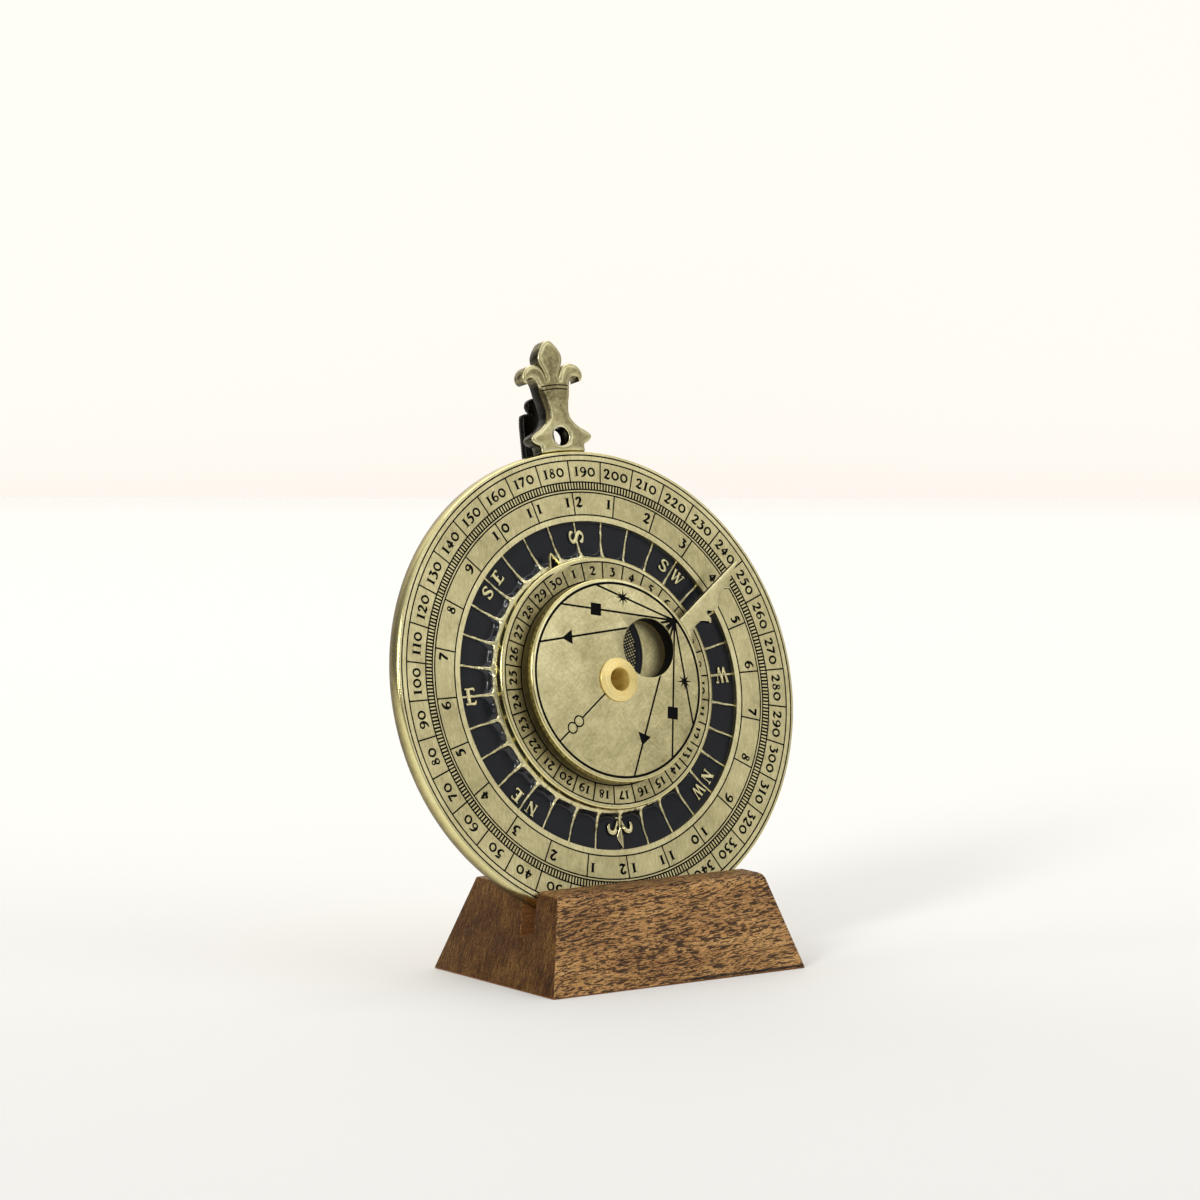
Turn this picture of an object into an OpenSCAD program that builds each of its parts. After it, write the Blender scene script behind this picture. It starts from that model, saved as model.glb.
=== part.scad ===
// Nocturnal dial: a brass star clock that leans back in the slot of a bevelled wooden block.
// The front carries a compass rose in black enamel, a moon-age disc and an aspect disc with a
// moon window and a long index blade. The back carries a toothed hour disc and a long index arm.
// Every disc turns on one hollow hub, whose hole is the sighting hole.
//
// Row frame: +Z up, the dial faces -Y, the origin is on the table under the middle of the box.
// Dial frame, used by every piece of the dial: x to the right, y up the dial face, z out of the
// face towards the reader, with 0 at the centre of the front face. Angles on the dial are
// clockwise from the handle.

/* [Main plate] */
// Outer radius of the main plate
plate_r = 42.4; // [42:0.1:42.8]
// Thickness of the main plate
plate_t = 3.3; // [3:0.1:3.4]
// Radius of the rounding on the rim
rim_round = 0.25; // [0.1:0.05:0.3]
// Depth of the engraved circles
groove_d = 0.15; // [0.1:0.01:0.25]
// Width of the engraved circles
groove_w = 0.16; // [0.1:0.01:0.25]

/* [Compass rose] */
// Outer radius of the sunk compass ring
rose_ro = 29.55; // [29:0.05:30]
// Inner radius of the sunk compass ring
rose_ri = 22.95; // [22.8:0.05:23.2]
// Number of compass points, one rib each
points = 32; // [16:16:32]
// Width of a rib along its outer part
rib_w = 0.55; // [0.4:0.05:0.7]
// Depth of the rib tops below the face
rib_z = 0.73; // [0.5:0.01:0.9]
// Depth of the cell floors below the face
cell_z = 1.6; // [1.4:0.05:1.8]
// Depth of the enamel surface below the face
enamel_z = 1.0; // [0.85:0.05:1.2]
// Height of the collar under the moon-age disc
collar_h = 0.55; // [0.4:0.01:0.6]

/* [Hub] */
// Radius of the sighting hole
hole_r = 2.03; // [1.8:0.01:2.2]
// Outer radius of the hub tube
tube_r = 2.9; // [2.7:0.05:3.1]
// Radial running clearance of the discs on the tube
run = 0.05; // [0.02:0.01:0.09]
// Radius of the front flange
flange_r = 3.9; // [3.6:0.1:4.2]
// Height of the flange's outer edge over the face
flange_z0 = 5.96; // [5.9:0.01:6.1]
// Height of the mouth of the hole over the face
flange_z1 = 6.37; // [6.2:0.01:6.5]

/* [Moon-age disc] */
// Radius of the moon-age disc
moon_r = 22.65; // [22.4:0.05:22.7]
// Height of its underside over the face
moon_z0 = 0.65; // [0.6:0.01:0.75]
// Height of its face over the dial's face
moon_z1 = 2.42; // [2.3:0.01:2.5]
// Angle of the first-day line, where the tooth is
moon_turn = -17.3; // [-180:0.1:180]
// Radius of the dark new-moon field
new_r = 10.14; // [9.8:0.02:10.4]
// Distance of the field's centre from the axis
new_d = 6.05; // [5.8:0.05:6.2]
// Tip radius of the tooth
tooth_r = 25.2; // [24.5:0.1:25.5]

/* [Aspect disc] */
// Radius of the aspect disc
aspect_r = 18.3; // [18:0.05:18.5]
// Height of its underside over the face
aspect_z0 = 4.15; // [4.1:0.01:4.3]
// Height of its face over the dial's face
aspect_z1 = 5.56; // [5.5:0.01:5.6]
// Angle of the disc's axis, through the middle of the window
aspect_turn = 55.3; // [-180:0.1:180]
// Radius of the moon window
window_r = 5.32; // [5:0.02:5.4]
// Distance of the window's centre from the axis
window_d = 9.21; // [9.2:0.01:9.4]
// Height of the blade's face
blade_z1 = 5.08; // [5:0.01:5.2]
// Thickness of the blade
blade_t = 1.43; // [1.2:0.01:1.5]

/* [Back] */
// Root radius of the toothed hour disc
hour_r = 27; // [26:0.1:28]
// Radius over the teeth
hour_tooth_r = 29.2; // [28.6:0.1:29.6]
// Radius of the long midnight tooth
hour_long_r = 31.8; // [30:0.1:32.2]
// Thickness of the hour disc
hour_t = 1.8; // [1.4:0.1:1.9]
// Number of teeth, one for each hour
hours = 24; // [24:24:24]
// Distance of the arm's front side behind the face
arm_z0 = 7.4; // [7.3:0.05:7.6]
// Thickness of the arm
arm_t = 1.8; // [1.6:0.1:1.8]
// Length of the arm from the axis to its shoulders
arm_len = 50.6; // [49:0.1:51.5]
// Radius of the knob at the arm's end
knob_r = 1.5; // [1.2:0.05:1.7]

/* [Handle] */
// Thickness of the handle
handle_t = 3.3; // [2.8:0.1:3.4]
// Depth of its front behind the dial's face
handle_z = 0.4; // [0.3:0.05:0.6]
// Radius of the hanging hole
hang_r = 1.66; // [1.4:0.02:1.8]
// Height of the hanging hole's centre above the dial's centre
hang_v = 45.1; // [44.9:0.1:45.3]

/* [Stand] */
// Backward lean of the dial, in degrees
lean = 15; // [14:0.5:16]
// Height of the dial's centre above the table
centre_h = 50.7; // [50.6:0.1:51]
// Height of the block
block_h = 16.9; // [16.2:0.1:16.9]
// Left end of the block's foot, from the dial's centre
block_x0 = -25.3; // [-26:0.1:-25]
// Right end of the block's foot
block_x1 = 29.4; // [29:0.1:30.5]
// Front edge of the block's foot
block_y0 = -22; // [-22.5:0.1:-21]
// Back edge of the block's foot
block_y1 = 15.6; // [15:0.1:16.5]
// How far each side of the block slopes in
block_in = 6; // [5.4:0.1:6.4]
// Clearance between the slot and the back of the plate
slot_back = 0.1; // [0.05:0.01:0.15]
// Clearance between the slot and the face of the plate
slot_front = 0.55; // [0.4:0.05:0.6]
// Clearance under the plate's rim
slot_floor = 0.1; // [0.05:0.01:0.2]

/* [Hidden] */
$fn = 96;

brass = [0.66, 0.60, 0.38];
dark_brass = [0.42, 0.39, 0.26];
yellow_brass = [0.86, 0.72, 0.34];
enamel = [0.06, 0.07, 0.09];
wood = [0.42, 0.26, 0.14];
steel = [0.62, 0.62, 0.60];

// radii of the engraved circles on the front face
front_circles = [for (f = [0.9, 1.9, 5.8, 7.15, 7.65, 11.75]) plate_r - f];
// radii of the engraved circles on the back face
back_circles = [for (f = [1.2, 4, 6.8, 7.8]) plate_r - f];

hour_z0 = plate_t + 0.15;             // front side of the hour disc, behind the face
hour_z1 = hour_z0 + hour_t;
arm_z1 = arm_z0 + arm_t;
spring_z1 = arm_z1 + 0.75;
washer_z1 = spring_z1 + 0.55;
nut_z0 = washer_z1 + 0.05;
nut_z1 = nut_z0 + 2.1;
tube_end = nut_z1 - 0.25;
knob_v = arm_len + 1.3;

// the box's middle: the block's front foot and the back of the arm's knob
y_back = (knob_v + knob_r) * sin(lean) + arm_z1 * cos(lean);
y_shift = -(y_back + block_y0) / 2;

module to_dial() {
    translate([0, y_shift, centre_h]) rotate([90 - lean, 0, 0]) children();
}

// an arc of points about [cx, cy], from angle a0 to a1
function arc(cx, cy, r, a0, a1, n) =
    [for (i = [0:n]) [cx + r * cos(a0 + (a1 - a0) * i / n), cy + r * sin(a0 + (a1 - a0) * i / n)]];

// a ring made by turning a rectangle
module ring(ri, ro, z0, z1) {
    rotate_extrude() translate([ri, z0]) square([ro - ri, z1 - z0]);
}

// ---------------------------------------------------------------- stand
// Bevelled block with a full-length slot that leans back with the dial
module stand_block() color(wood) {
    difference() {
        translate([0, y_shift, 0]) intersection() {
            translate([0, 40, 0]) rotate([90, 0, 0]) linear_extrude(80)
                polygon([[block_x0, 0], [block_x1, 0],
                         [block_x1 - block_in + 1, block_h], [block_x0 + block_in - 1, block_h]]);
            translate([-60, 0, 0]) rotate([90, 0, 90]) linear_extrude(120)
                polygon([[block_y0, 0], [block_y1, 0],
                         [block_y1 - block_in - 0.2, block_h], [block_y0 + block_in, block_h]]);
        }
        to_dial() translate([-60, -plate_r - slot_floor, -plate_t - slot_back])
            cube([120, 60, plate_t + slot_back + slot_front]);
    }
}

// ---------------------------------------------------------------- main plate
rose_half = 180 / points;
// half width of a rib at radius r: it flares into the collar
function rib_half(r) = rib_w / 2 + 0.95 * pow(max(0, (25.3 - r) / (25.3 - rose_ri)), 2.4);
function cell_x(r, g) = r * tan(rose_half) - rib_half(r) - g;
// outline of one cell about the +Y direction, g smaller all round
cell_ri = rose_ri + 0.15;
cell_ro = rose_ro - 0.12;
function cell_outline(g) = concat(
    [for (i = [0:8]) let (r = cell_ri + g + (25.3 - cell_ri - g) * i / 8) [cell_x(r, g), r]],
    [for (i = [0:4]) let (a = asin(cell_x(cell_ro, g) / cell_ro) * (1 - i / 2))
        [(cell_ro - g) * sin(a), (cell_ro - g) * cos(a)]],
    [for (i = [8:-1:0]) let (r = cell_ri + g + (25.3 - cell_ri - g) * i / 8) [-cell_x(r, g), r]]);

function front_groove(r) = [[r + groove_w / 2, 0], [r + groove_w / 2, -groove_d],
                            [r - groove_w / 2, -groove_d], [r - groove_w / 2, 0]];
function back_groove(r) = [[r - groove_w / 2, -plate_t], [r - groove_w / 2, -plate_t + groove_d],
                           [r + groove_w / 2, -plate_t + groove_d], [r + groove_w / 2, -plate_t]];

module plate_blank() {
    rotate_extrude() polygon(concat(
        [[tube_r + 0.02, collar_h], [tube_r + 0.02, -plate_t]],
        back_groove(back_circles[3]), back_groove(back_circles[2]),
        back_groove(back_circles[1]), back_groove(back_circles[0]),
        arc(plate_r - rim_round, -plate_t + rim_round, rim_round, -90, 0, 6),
        arc(plate_r - rim_round, -rim_round, rim_round, 0, 90, 6),
        front_groove(front_circles[0]), front_groove(front_circles[1]),
        front_groove(front_circles[2]), front_groove(front_circles[3]),
        front_groove(front_circles[4]), front_groove(front_circles[5]),
        [[rose_ro, 0], [rose_ro, -rib_z], [rose_ri, -rib_z], [rose_ri, 0.1],
         [rose_ri - 0.35, collar_h]]));
}

// crest of a rib, which ramps up to the collar
module rib() {
    rotate([90, 0, 90]) translate([0, 0, -rib_w * 0.36]) linear_extrude(rib_w * 0.72)
        polygon([[rose_ri - 0.6, -1.25], [27.4, -1.25], [27, -0.8], [25.2, -0.5], [24.2, -0.2],
                 [23.4, 0.15], [rose_ri - 0.6, 0.45]]);
}

module main_plate() color(brass) to_dial() {
    difference() {
        union() {
            difference() {
                plate_blank();
                for (k = [0:points - 1]) rotate([0, 0, rose_half * (2 * k + 1)])
                    translate([0, 0, -cell_z]) linear_extrude(cell_z - 0.2) polygon(cell_outline(0));
            }
            for (k = [0:points - 1]) rotate([0, 0, 2 * rose_half * k]) rib();
        }
        // mortise for the handle's tang
        translate([-4.5, 39.4, -2.65]) cube([9, 5, 1.6]);
    }
}

// Black enamel in the thirty-two cells
module compass_enamel() color(enamel) to_dial() {
    for (k = [0:points - 1]) rotate([0, 0, rose_half * (2 * k + 1)])
        translate([0, 0, -cell_z + 0.02]) linear_extrude(cell_z - enamel_z - 0.02)
            polygon(cell_outline(0.03));
}

// ---------------------------------------------------------------- handle
// right half of the outline, from the foot up to the tip of the middle petal
handle_half = [
    [4.7, 41.2], [4.65, 42.8], [4.8, 43.4], [5.2, 43.9], [5.9, 44.2], [6.35, 44.6], [6.4, 45.1],
    [5.8, 45.8], [4.8, 46.4], [3.8, 47.1], [2.95, 47.9], [2.5, 48.6], [2.38, 49.4], [2.42, 50.2],
    [2.65, 51.2], [2.95, 52.3], [3.2, 53.4], [3.3, 54.2], [3.45, 54.8], [3.65, 55.3], [4, 55.7],
    [4.4, 55.9], [5, 55.85], [5.5, 55.6], [5.75, 55.2], [5.7, 54.75], [6.1, 55], [6.4, 55.5],
    [6.4, 56.2], [6.1, 56.9], [5.6, 57.5], [5, 57.95], [4.3, 58.2], [3.6, 58.2], [3, 58.05],
    [2.4, 57.6], [1.95, 57], [1.5, 56.3], [1.2, 55.6],
    [1.45, 56.6], [1.8, 57.4], [2.2, 58.2], [2.45, 58.9], [2.5, 59.6], [2.2, 60.4],
    [1.65, 61.3], [0.9, 62.15], [0.4, 62.5]];
handle_outline = concat(handle_half, [[0, 62.6]],
    [for (i = [len(handle_half) - 1:-1:0]) [-handle_half[i][0], handle_half[i][1]]]);

module handle() color(brass) to_dial() {
    difference() {
        translate([0, 0, -handle_z - handle_t]) linear_extrude(handle_t) polygon(handle_outline);
        translate([0, 0, -8]) cylinder(h = 10, r = plate_r + 0.05, $fn = 180);
        translate([0, hang_v, -8]) cylinder(h = 10, r = hang_r, $fn = 48);
        // two engraved lines that tie the petals
        for (v = [53.6, 54.3]) translate([-2.6, v - 0.08, -handle_z - 0.2]) cube([5.2, 0.16, 1]);
    }
    // tang in the plate's mortise
    translate([-4.45, 39.5, -2.6]) cube([8.9, 3.2, 1.5]);
}

// ---------------------------------------------------------------- moon-age disc
module moon_age_disc() color(brass) to_dial() rotate([0, 0, -moon_turn]) {
    difference() {
        union() {
            rotate_extrude() polygon([
                [tube_r + run, moon_z0], [moon_r - 0.1, moon_z0], [moon_r, moon_z0 + 0.12],
                [moon_r, moon_z1 - 0.42], [moon_r - 0.12, moon_z1 - 0.14], [moon_r - 0.42, moon_z1],
                [21.8, moon_z1], [21.8, moon_z1 - groove_d], [21.64, moon_z1 - groove_d], [21.64, moon_z1],
                [18.5, moon_z1], [18.5, moon_z1 - groove_d], [18.34, moon_z1 - groove_d], [18.34, moon_z1],
                [tube_r + run, moon_z1]]);
            // tooth at the first-day line
            translate([0, 0, moon_z0 + 0.02]) linear_extrude(0.75)
                polygon([[-1.5, 22.2], [1.5, 22.2], [0.3, tooth_r - 0.3], [0, tooth_r], [-0.3, tooth_r - 0.3]]);
        }
        // sunk field of the new moon, round a boss at the hub
        difference() {
            translate([0, new_d, moon_z1 - 0.5]) cylinder(h = 2, r = new_r);
            cylinder(h = 6, r = 3.85);
        }
    }
}

module new_moon_enamel() color(enamel) to_dial() rotate([0, 0, -moon_turn]) {
    difference() {
        translate([0, new_d, moon_z1 - 0.48]) cylinder(h = 0.44, r = new_r - 0.03);
        cylinder(h = 6, r = 3.88);
    }
}

module front_spacer() color(yellow_brass) to_dial() {
    ring(tube_r + 0.03, 3.75, moon_z1 + 0.06, aspect_z0 - 0.06);
}

// ---------------------------------------------------------------- aspect disc
// outline of the index blade beside the disc's axis, x clockwise of it and y along it
blade_outline = [
    [0.9, 16.6], [0.9, 35.4], [1.05, 35.85], [1.35, 35.3], [1.7, 34.3], [2, 33.2], [2.3, 32.4],
    [2.8, 31.8], [3.3, 31.3], [3.6, 30.9], [3.2, 30.4], [2.85, 29.7], [2.75, 29.2], [2.95, 28.7],
    [3.35, 28.2], [3.8, 27.7], [4.2, 27], [4.35, 26.4], [4.3, 25.7], [4.05, 25.2], [3.6, 24.8],
    [3.3, 24.4], [3.45, 24], [3.8, 23.85], [4.4, 23.8], [5, 23.4], [4.9, 23], [4.45, 22.6],
    [3.9, 22], [3.6, 21.2], [3.6, 20.4], [3.85, 19.6], [4.4, 18.9], [5.2, 18.4], [5.6, 16.6]];

module aspect_disc() color(brass) to_dial() rotate([0, 0, -aspect_turn]) {
    difference() {
        union() {
            rotate_extrude() polygon([
                [tube_r + run, aspect_z0], [aspect_r - 0.15, aspect_z0], [aspect_r, aspect_z0 + 0.15],
                [aspect_r, aspect_z1 - 0.3], [aspect_r - 0.12, aspect_z1 - 0.09], [aspect_r - 0.33, aspect_z1],
                [17.53, aspect_z1], [17.53, aspect_z1 - groove_d], [17.2, aspect_z1 - groove_d], [17.2, aspect_z1],
                [tube_r + run, aspect_z1]]);
            translate([0, 0, blade_z1 - blade_t]) linear_extrude(blade_t) polygon(blade_outline);
        }
        translate([0, window_d, 2]) cylinder(h = 6, r = window_r);
    }
}

// ---------------------------------------------------------------- hub
module hub_sleeve() color(yellow_brass) to_dial() {
    rotate_extrude() polygon([
        [hole_r, -tube_end], [tube_r, -tube_end], [tube_r, aspect_z1 + 0.05],
        [flange_r, aspect_z1 + 0.05], [flange_r, flange_z0 - 0.05], [flange_r - 0.08, flange_z0],
        [hole_r + 0.25, flange_z1], [hole_r, flange_z1 - 0.2]]);
}

module hub_nut() color(yellow_brass) to_dial() {
    difference() {
        rotate_extrude() polygon([
            [tube_r + 0.02, -nut_z1], [4.2, -nut_z1], [4.6, -nut_z1 + 0.4],
            [4.6, -nut_z0 - 0.3], [4.9, -nut_z0], [tube_r + 0.02, -nut_z0]]);
        // two spanner slots across the back
        translate([-6, -0.5, -nut_z1 - 1]) cube([12, 1, 1.7]);
    }
}

// ---------------------------------------------------------------- back
// toothed edge, one tooth for each hour and a long one for midnight
function tooth_tip(k) = k == 0 ? hour_long_r : hour_tooth_r;
hour_outline = [for (k = [0:hours - 1]) for (j = [0:6])
    let (c = k * 360 / hours, s = 180 / hours,
         a = c + s * [-0.99, -0.5, -0.22, 0, 0.22, 0.5, 0.99][j],
         t = tooth_tip(k),
         r = [hour_r, hour_r + 0.5, t - 0.5, t, t - 0.5, hour_r + 0.5, hour_r][j])
        [r * sin(a), r * cos(a)]];

module hour_disc() color(brass) to_dial() {
    difference() {
        translate([0, 0, -hour_z1]) linear_extrude(hour_t) polygon(hour_outline);
        translate([0, 0, -hour_z1 - 1]) cylinder(h = 5, r = tube_r + run);
        for (r = [25.9, 21.9]) translate([0, 0, -hour_z1 - 1]) ring(r - 0.08, r + 0.08, 0, 1 + groove_d);
    }
}

module rear_spacer() color(yellow_brass) to_dial() {
    ring(tube_r + 0.03, 4.8, -arm_z0 + 0.06, -hour_z1 - 0.06);
}

module index_arm() color(dark_brass) to_dial() {
    difference() {
        union() {
            translate([0, 0, -arm_z1]) cylinder(h = arm_t, r = 7);
            translate([0, 0, -arm_z1]) linear_extrude(arm_t)
                polygon([[-4.6, 3], [4.6, 3], [4.1, 12], [3.6, 42], [3, arm_len - 0.3], [2.65, arm_len],
                         [1, arm_len + 0.2], [-1, arm_len + 0.2], [-2.65, arm_len], [-3, arm_len - 0.3],
                         [-3.6, 42], [-4.1, 12]]);
            translate([0, knob_v, -arm_z1]) cylinder(h = arm_t, r = knob_r, $fn = 32);
        }
        translate([0, 0, -arm_z1 - 1]) cylinder(h = 5, r = tube_r + run);
    }
}

// Cone washer that gives the turning friction
module spring_washer() color(steel) to_dial() {
    rotate_extrude() polygon([
        [tube_r + 0.06, -spring_z1 + 0.08], [5.3, -arm_z1 - 0.36], [5.3, -arm_z1 - 0.06],
        [tube_r + 0.06, -spring_z1 + 0.38]]);
}

module flat_washer() color(yellow_brass) to_dial() {
    ring(tube_r + 0.04, 5.4, -washer_z1, -spring_z1);
}

stand_block();
main_plate();
compass_enamel();
handle();
moon_age_disc();
new_moon_enamel();
front_spacer();
aspect_disc();
hub_sleeve();
hour_disc();
rear_spacer();
index_arm();
spring_washer();
flat_washer();
hub_nut();
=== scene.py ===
"""Looks of the nocturnal dial: engraved brass discs, enamelled compass rose, cast handle and the wooden block."""

import math
import random

import bmesh
import bpy
import numpy as np
from mathutils import Matrix, Vector
from mathutils.geometry import delaunay_2d_cdt


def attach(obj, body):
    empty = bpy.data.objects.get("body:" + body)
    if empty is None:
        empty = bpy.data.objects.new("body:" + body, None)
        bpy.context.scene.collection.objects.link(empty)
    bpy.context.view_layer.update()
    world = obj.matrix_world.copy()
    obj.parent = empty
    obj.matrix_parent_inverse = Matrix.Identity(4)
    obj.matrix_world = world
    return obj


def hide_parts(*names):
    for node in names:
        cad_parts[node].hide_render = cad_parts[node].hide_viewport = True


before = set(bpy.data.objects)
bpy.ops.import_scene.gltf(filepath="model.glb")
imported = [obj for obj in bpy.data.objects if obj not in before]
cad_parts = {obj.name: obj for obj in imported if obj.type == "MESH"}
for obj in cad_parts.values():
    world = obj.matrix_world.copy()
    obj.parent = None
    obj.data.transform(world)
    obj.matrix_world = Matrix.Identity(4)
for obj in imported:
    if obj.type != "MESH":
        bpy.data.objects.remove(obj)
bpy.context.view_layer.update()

# ------------------------------------------------------------------ the shared frame
MM = 0.001
LEAN = math.radians(15)
CENTRE_H = 50.7
Y_SHIFT = -0.3537
SL, CL = math.sin(LEAN), math.cos(LEAN)
# dial frame (x right, y up the face, z towards the reader, mm) -> row frame (m)
DIAL = Matrix.Translation((0, Y_SHIFT * MM, CENTRE_H * MM)) @ Matrix(
    ((1, 0, 0, 0), (0, SL, -CL, 0), (0, CL, SL, 0), (0, 0, 0, 1))
) @ Matrix.Scale(MM, 4)
ROW = Matrix.Scale(MM, 4)

# ------------------------------------------------------------------ camera
R1 = 40.3 * MM
AZ, EL = math.radians(-35.12), math.radians(6.45)
back = Vector((math.sin(AZ) * math.cos(EL), -math.cos(AZ) * math.cos(EL), math.sin(EL)))
right = Vector((math.cos(AZ), math.sin(AZ), 0))
up = back.cross(right)
cam_data = bpy.data.cameras.new("camera")
cam = bpy.data.objects.new("camera", cam_data)
bpy.context.scene.collection.objects.link(cam)
centre = Vector((0, Y_SHIFT * MM, CENTRE_H * MM))
place = centre + (23.923 * back - 0.004 * right + 0.373 * up) * R1
cam.matrix_world = Matrix.Translation(place) @ Matrix(
    ((right.x, up.x, back.x), (right.y, up.y, back.y), (right.z, up.z, back.z))
).to_4x4() @ Matrix.Rotation(math.radians(0.1), 4, "Z")
cam_data.lens = 5433.5 / 1200 * 36
cam_data.sensor_width = 36
cam_data.clip_start = 0.05
cam_data.clip_end = 20
bpy.context.scene.camera = cam


# ------------------------------------------------------------------ 2-D outlines
def pol(r, deg):
    """Point at radius r and angle deg, clockwise from the handle."""
    a = math.radians(deg)
    return (r * math.sin(a), r * math.cos(a))


def ring_pts(r, n, c=(0, 0)):
    return [(c[0] + r * math.cos(2 * math.pi * k / n), c[1] + r * math.sin(2 * math.pi * k / n)) for k in range(n)]


def spline(pts, n=6, closed=False):
    """Catmull-Rom through rows of numbers (x, y and any others)."""
    p = [np.array(q, float) for q in pts]
    m = len(p)
    out = []
    last = m if closed else m - 1
    for i in range(last):
        a = p[(i - 1) % m] if (closed or i > 0) else 2 * p[0] - p[1]
        b, c = p[i], p[(i + 1) % m]
        d = p[(i + 2) % m] if (closed or i + 2 < m) else 2 * p[-1] - p[-2]
        for k in range(n):
            t = k / n
            out.append(0.5 * (2 * b + (c - a) * t + (2 * a - 5 * b + 4 * c - d) * t * t + (3 * b - a - 3 * c + d) * t ** 3))
    if not closed:
        out.append(p[-1])
    return out


def ribbon(pts, n=5, smooth=True):
    """Outline of a stroke through (x, y, width) rows."""
    q = spline(pts, n) if smooth and len(pts) > 2 else [np.array(r, float) for r in pts]
    q = np.array(q)
    t = np.gradient(q[:, :2], axis=0)
    t /= np.maximum(np.linalg.norm(t, axis=1), 1e-9)[:, None]
    nrm = np.stack([-t[:, 1], t[:, 0]], 1)
    h = q[:, 2:3] / 2
    left, rgt = q[:, :2] + nrm * h, q[:, :2] - nrm * h
    return [tuple(v) for v in left] + [tuple(v) for v in rgt[::-1]]


def ellipse(cx, cy, rx, ry, tilt=0, n=28):
    c, s = math.cos(math.radians(tilt)), math.sin(math.radians(tilt))
    return [
        (cx + rx * math.cos(t) * c - ry * math.sin(t) * s, cy + rx * math.cos(t) * s + ry * math.sin(t) * c)
        for t in (2 * math.pi * k / n for k in range(n))
    ]


def area2(loop):
    a = np.array(loop)
    return float(np.dot(a[:, 0], np.roll(a[:, 1], -1)) - np.dot(a[:, 1], np.roll(a[:, 0], -1)))


# ------------------------------------------------------------------ numerals and letters, drawn with a broad pen
# each glyph: (width, [strokes]); a stroke is ("r", rows of x, y, width), ("o", outer, inner) or ("p", outline)
def _one():
    return [
        ("r", [(0.31, 0.04, 0.15), (0.31, 0.96, 0.15)]),
        ("p", [(0.05, 0.90), (0.24, 0.925), (0.40, 0.925), (0.59, 0.96), (0.57, 1.01), (0.40, 0.99), (0.20, 0.99), (0.03, 0.965)]),
        ("p", [(0.05, 0.0), (0.22, 0.015), (0.40, 0.015), (0.58, -0.01), (0.59, 0.05), (0.42, 0.09), (0.20, 0.09), (0.04, 0.06)]),
    ]


GLYPH = {
    "0": (0.98, [("o", ellipse(0.49, 0.48, 0.455, 0.475, 12), ellipse(0.49, 0.48, 0.325, 0.40, 18))]),
    "1": (0.62, _one()),
    "2": (0.82, [
        ("r", [(0.10, 0.73, 0.15), (0.15, 0.88, 0.12), (0.34, 0.97, 0.11), (0.54, 0.90, 0.14), (0.58, 0.70, 0.15),
               (0.44, 0.44, 0.11), (0.24, 0.22, 0.08), (0.06, 0.06, 0.07)]),
        ("r", [(0.04, 0.05, 0.07), (0.24, 0.11, 0.13), (0.48, 0.06, 0.15), (0.66, 0.08, 0.10), (0.78, 0.20, 0.05)]),
    ]),
    "3": (0.74, [
        ("r", [(0.10, 0.86, 0.06), (0.16, 0.93, 0.12), (0.40, 0.91, 0.13), (0.62, 0.95, 0.06)]),
        ("r", [(0.60, 0.94, 0.06), (0.42, 0.76, 0.07), (0.26, 0.60, 0.08)]),
        ("r", [(0.24, 0.58, 0.07), (0.44, 0.58, 0.13), (0.60, 0.42, 0.16), (0.56, 0.18, 0.14), (0.36, 0.03, 0.10),
               (0.16, 0.01, 0.11), (0.03, 0.10, 0.06)]),
    ]),
    "4": (0.86, [
        ("r", [(0.50, 0.98, 0.08), (0.30, 0.66, 0.07), (0.06, 0.36, 0.07)]),
        ("r", [(0.02, 0.35, 0.08), (0.30, 0.31, 0.15), (0.60, 0.33, 0.14), (0.82, 0.38, 0.06)]),
        ("r", [(0.44, 0.98, 0.10), (0.55, 0.60, 0.15), (0.50, 0.30, 0.15), (0.48, 0.04, 0.13)]),
        ("p", [(0.28, -0.01), (0.70, -0.01), (0.70, 0.05), (0.28, 0.06)]),
    ]),
    "5": (0.76, [
        ("r", [(0.20, 0.90, 0.10), (0.40, 0.93, 0.15), (0.58, 0.95, 0.10), (0.74, 1.05, 0.05)]),
        ("r", [(0.22, 0.94, 0.08), (0.16, 0.56, 0.08)]),
        ("r", [(0.14, 0.57, 0.07), (0.36, 0.62, 0.13), (0.56, 0.48, 0.16), (0.56, 0.24, 0.15), (0.38, 0.05, 0.11),
               (0.18, 0.01, 0.10), (0.04, 0.08, 0.06)]),
    ]),
    "6": (0.80, [
        ("o", ellipse(0.41, 0.31, 0.36, 0.31, 10), ellipse(0.42, 0.31, 0.235, 0.225, 20)),
        ("r", [(0.11, 0.30, 0.12), (0.10, 0.52, 0.14), (0.24, 0.80, 0.14), (0.46, 0.96, 0.11), (0.72, 1.03, 0.05)]),
    ]),
    "7": (0.78, [
        ("r", [(0.03, 0.80, 0.06), (0.12, 0.92, 0.13), (0.40, 0.90, 0.14), (0.72, 0.95, 0.08)]),
        ("r", [(0.70, 0.95, 0.08), (0.50, 0.62, 0.12), (0.32, 0.28, 0.14), (0.20, -0.02, 0.11)]),
    ]),
    "8": (0.78, [
        ("o", ellipse(0.40, 0.76, 0.25, 0.235, 0), ellipse(0.40, 0.765, 0.135, 0.165, 20)),
        ("o", ellipse(0.38, 0.27, 0.335, 0.285, 10), ellipse(0.38, 0.27, 0.21, 0.20, 25)),
        ("r", [(0.20, 0.66, 0.12), (0.40, 0.52, 0.14), (0.58, 0.40, 0.12)]),
    ]),
}
GLYPH["9"] = (0.80, [
    (k[0],) + tuple([(0.80 - p[0], 0.98 - p[1]) + tuple(p[2:]) for p in part] for part in k[1:])
    for k in GLYPH["6"][1]
])


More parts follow.
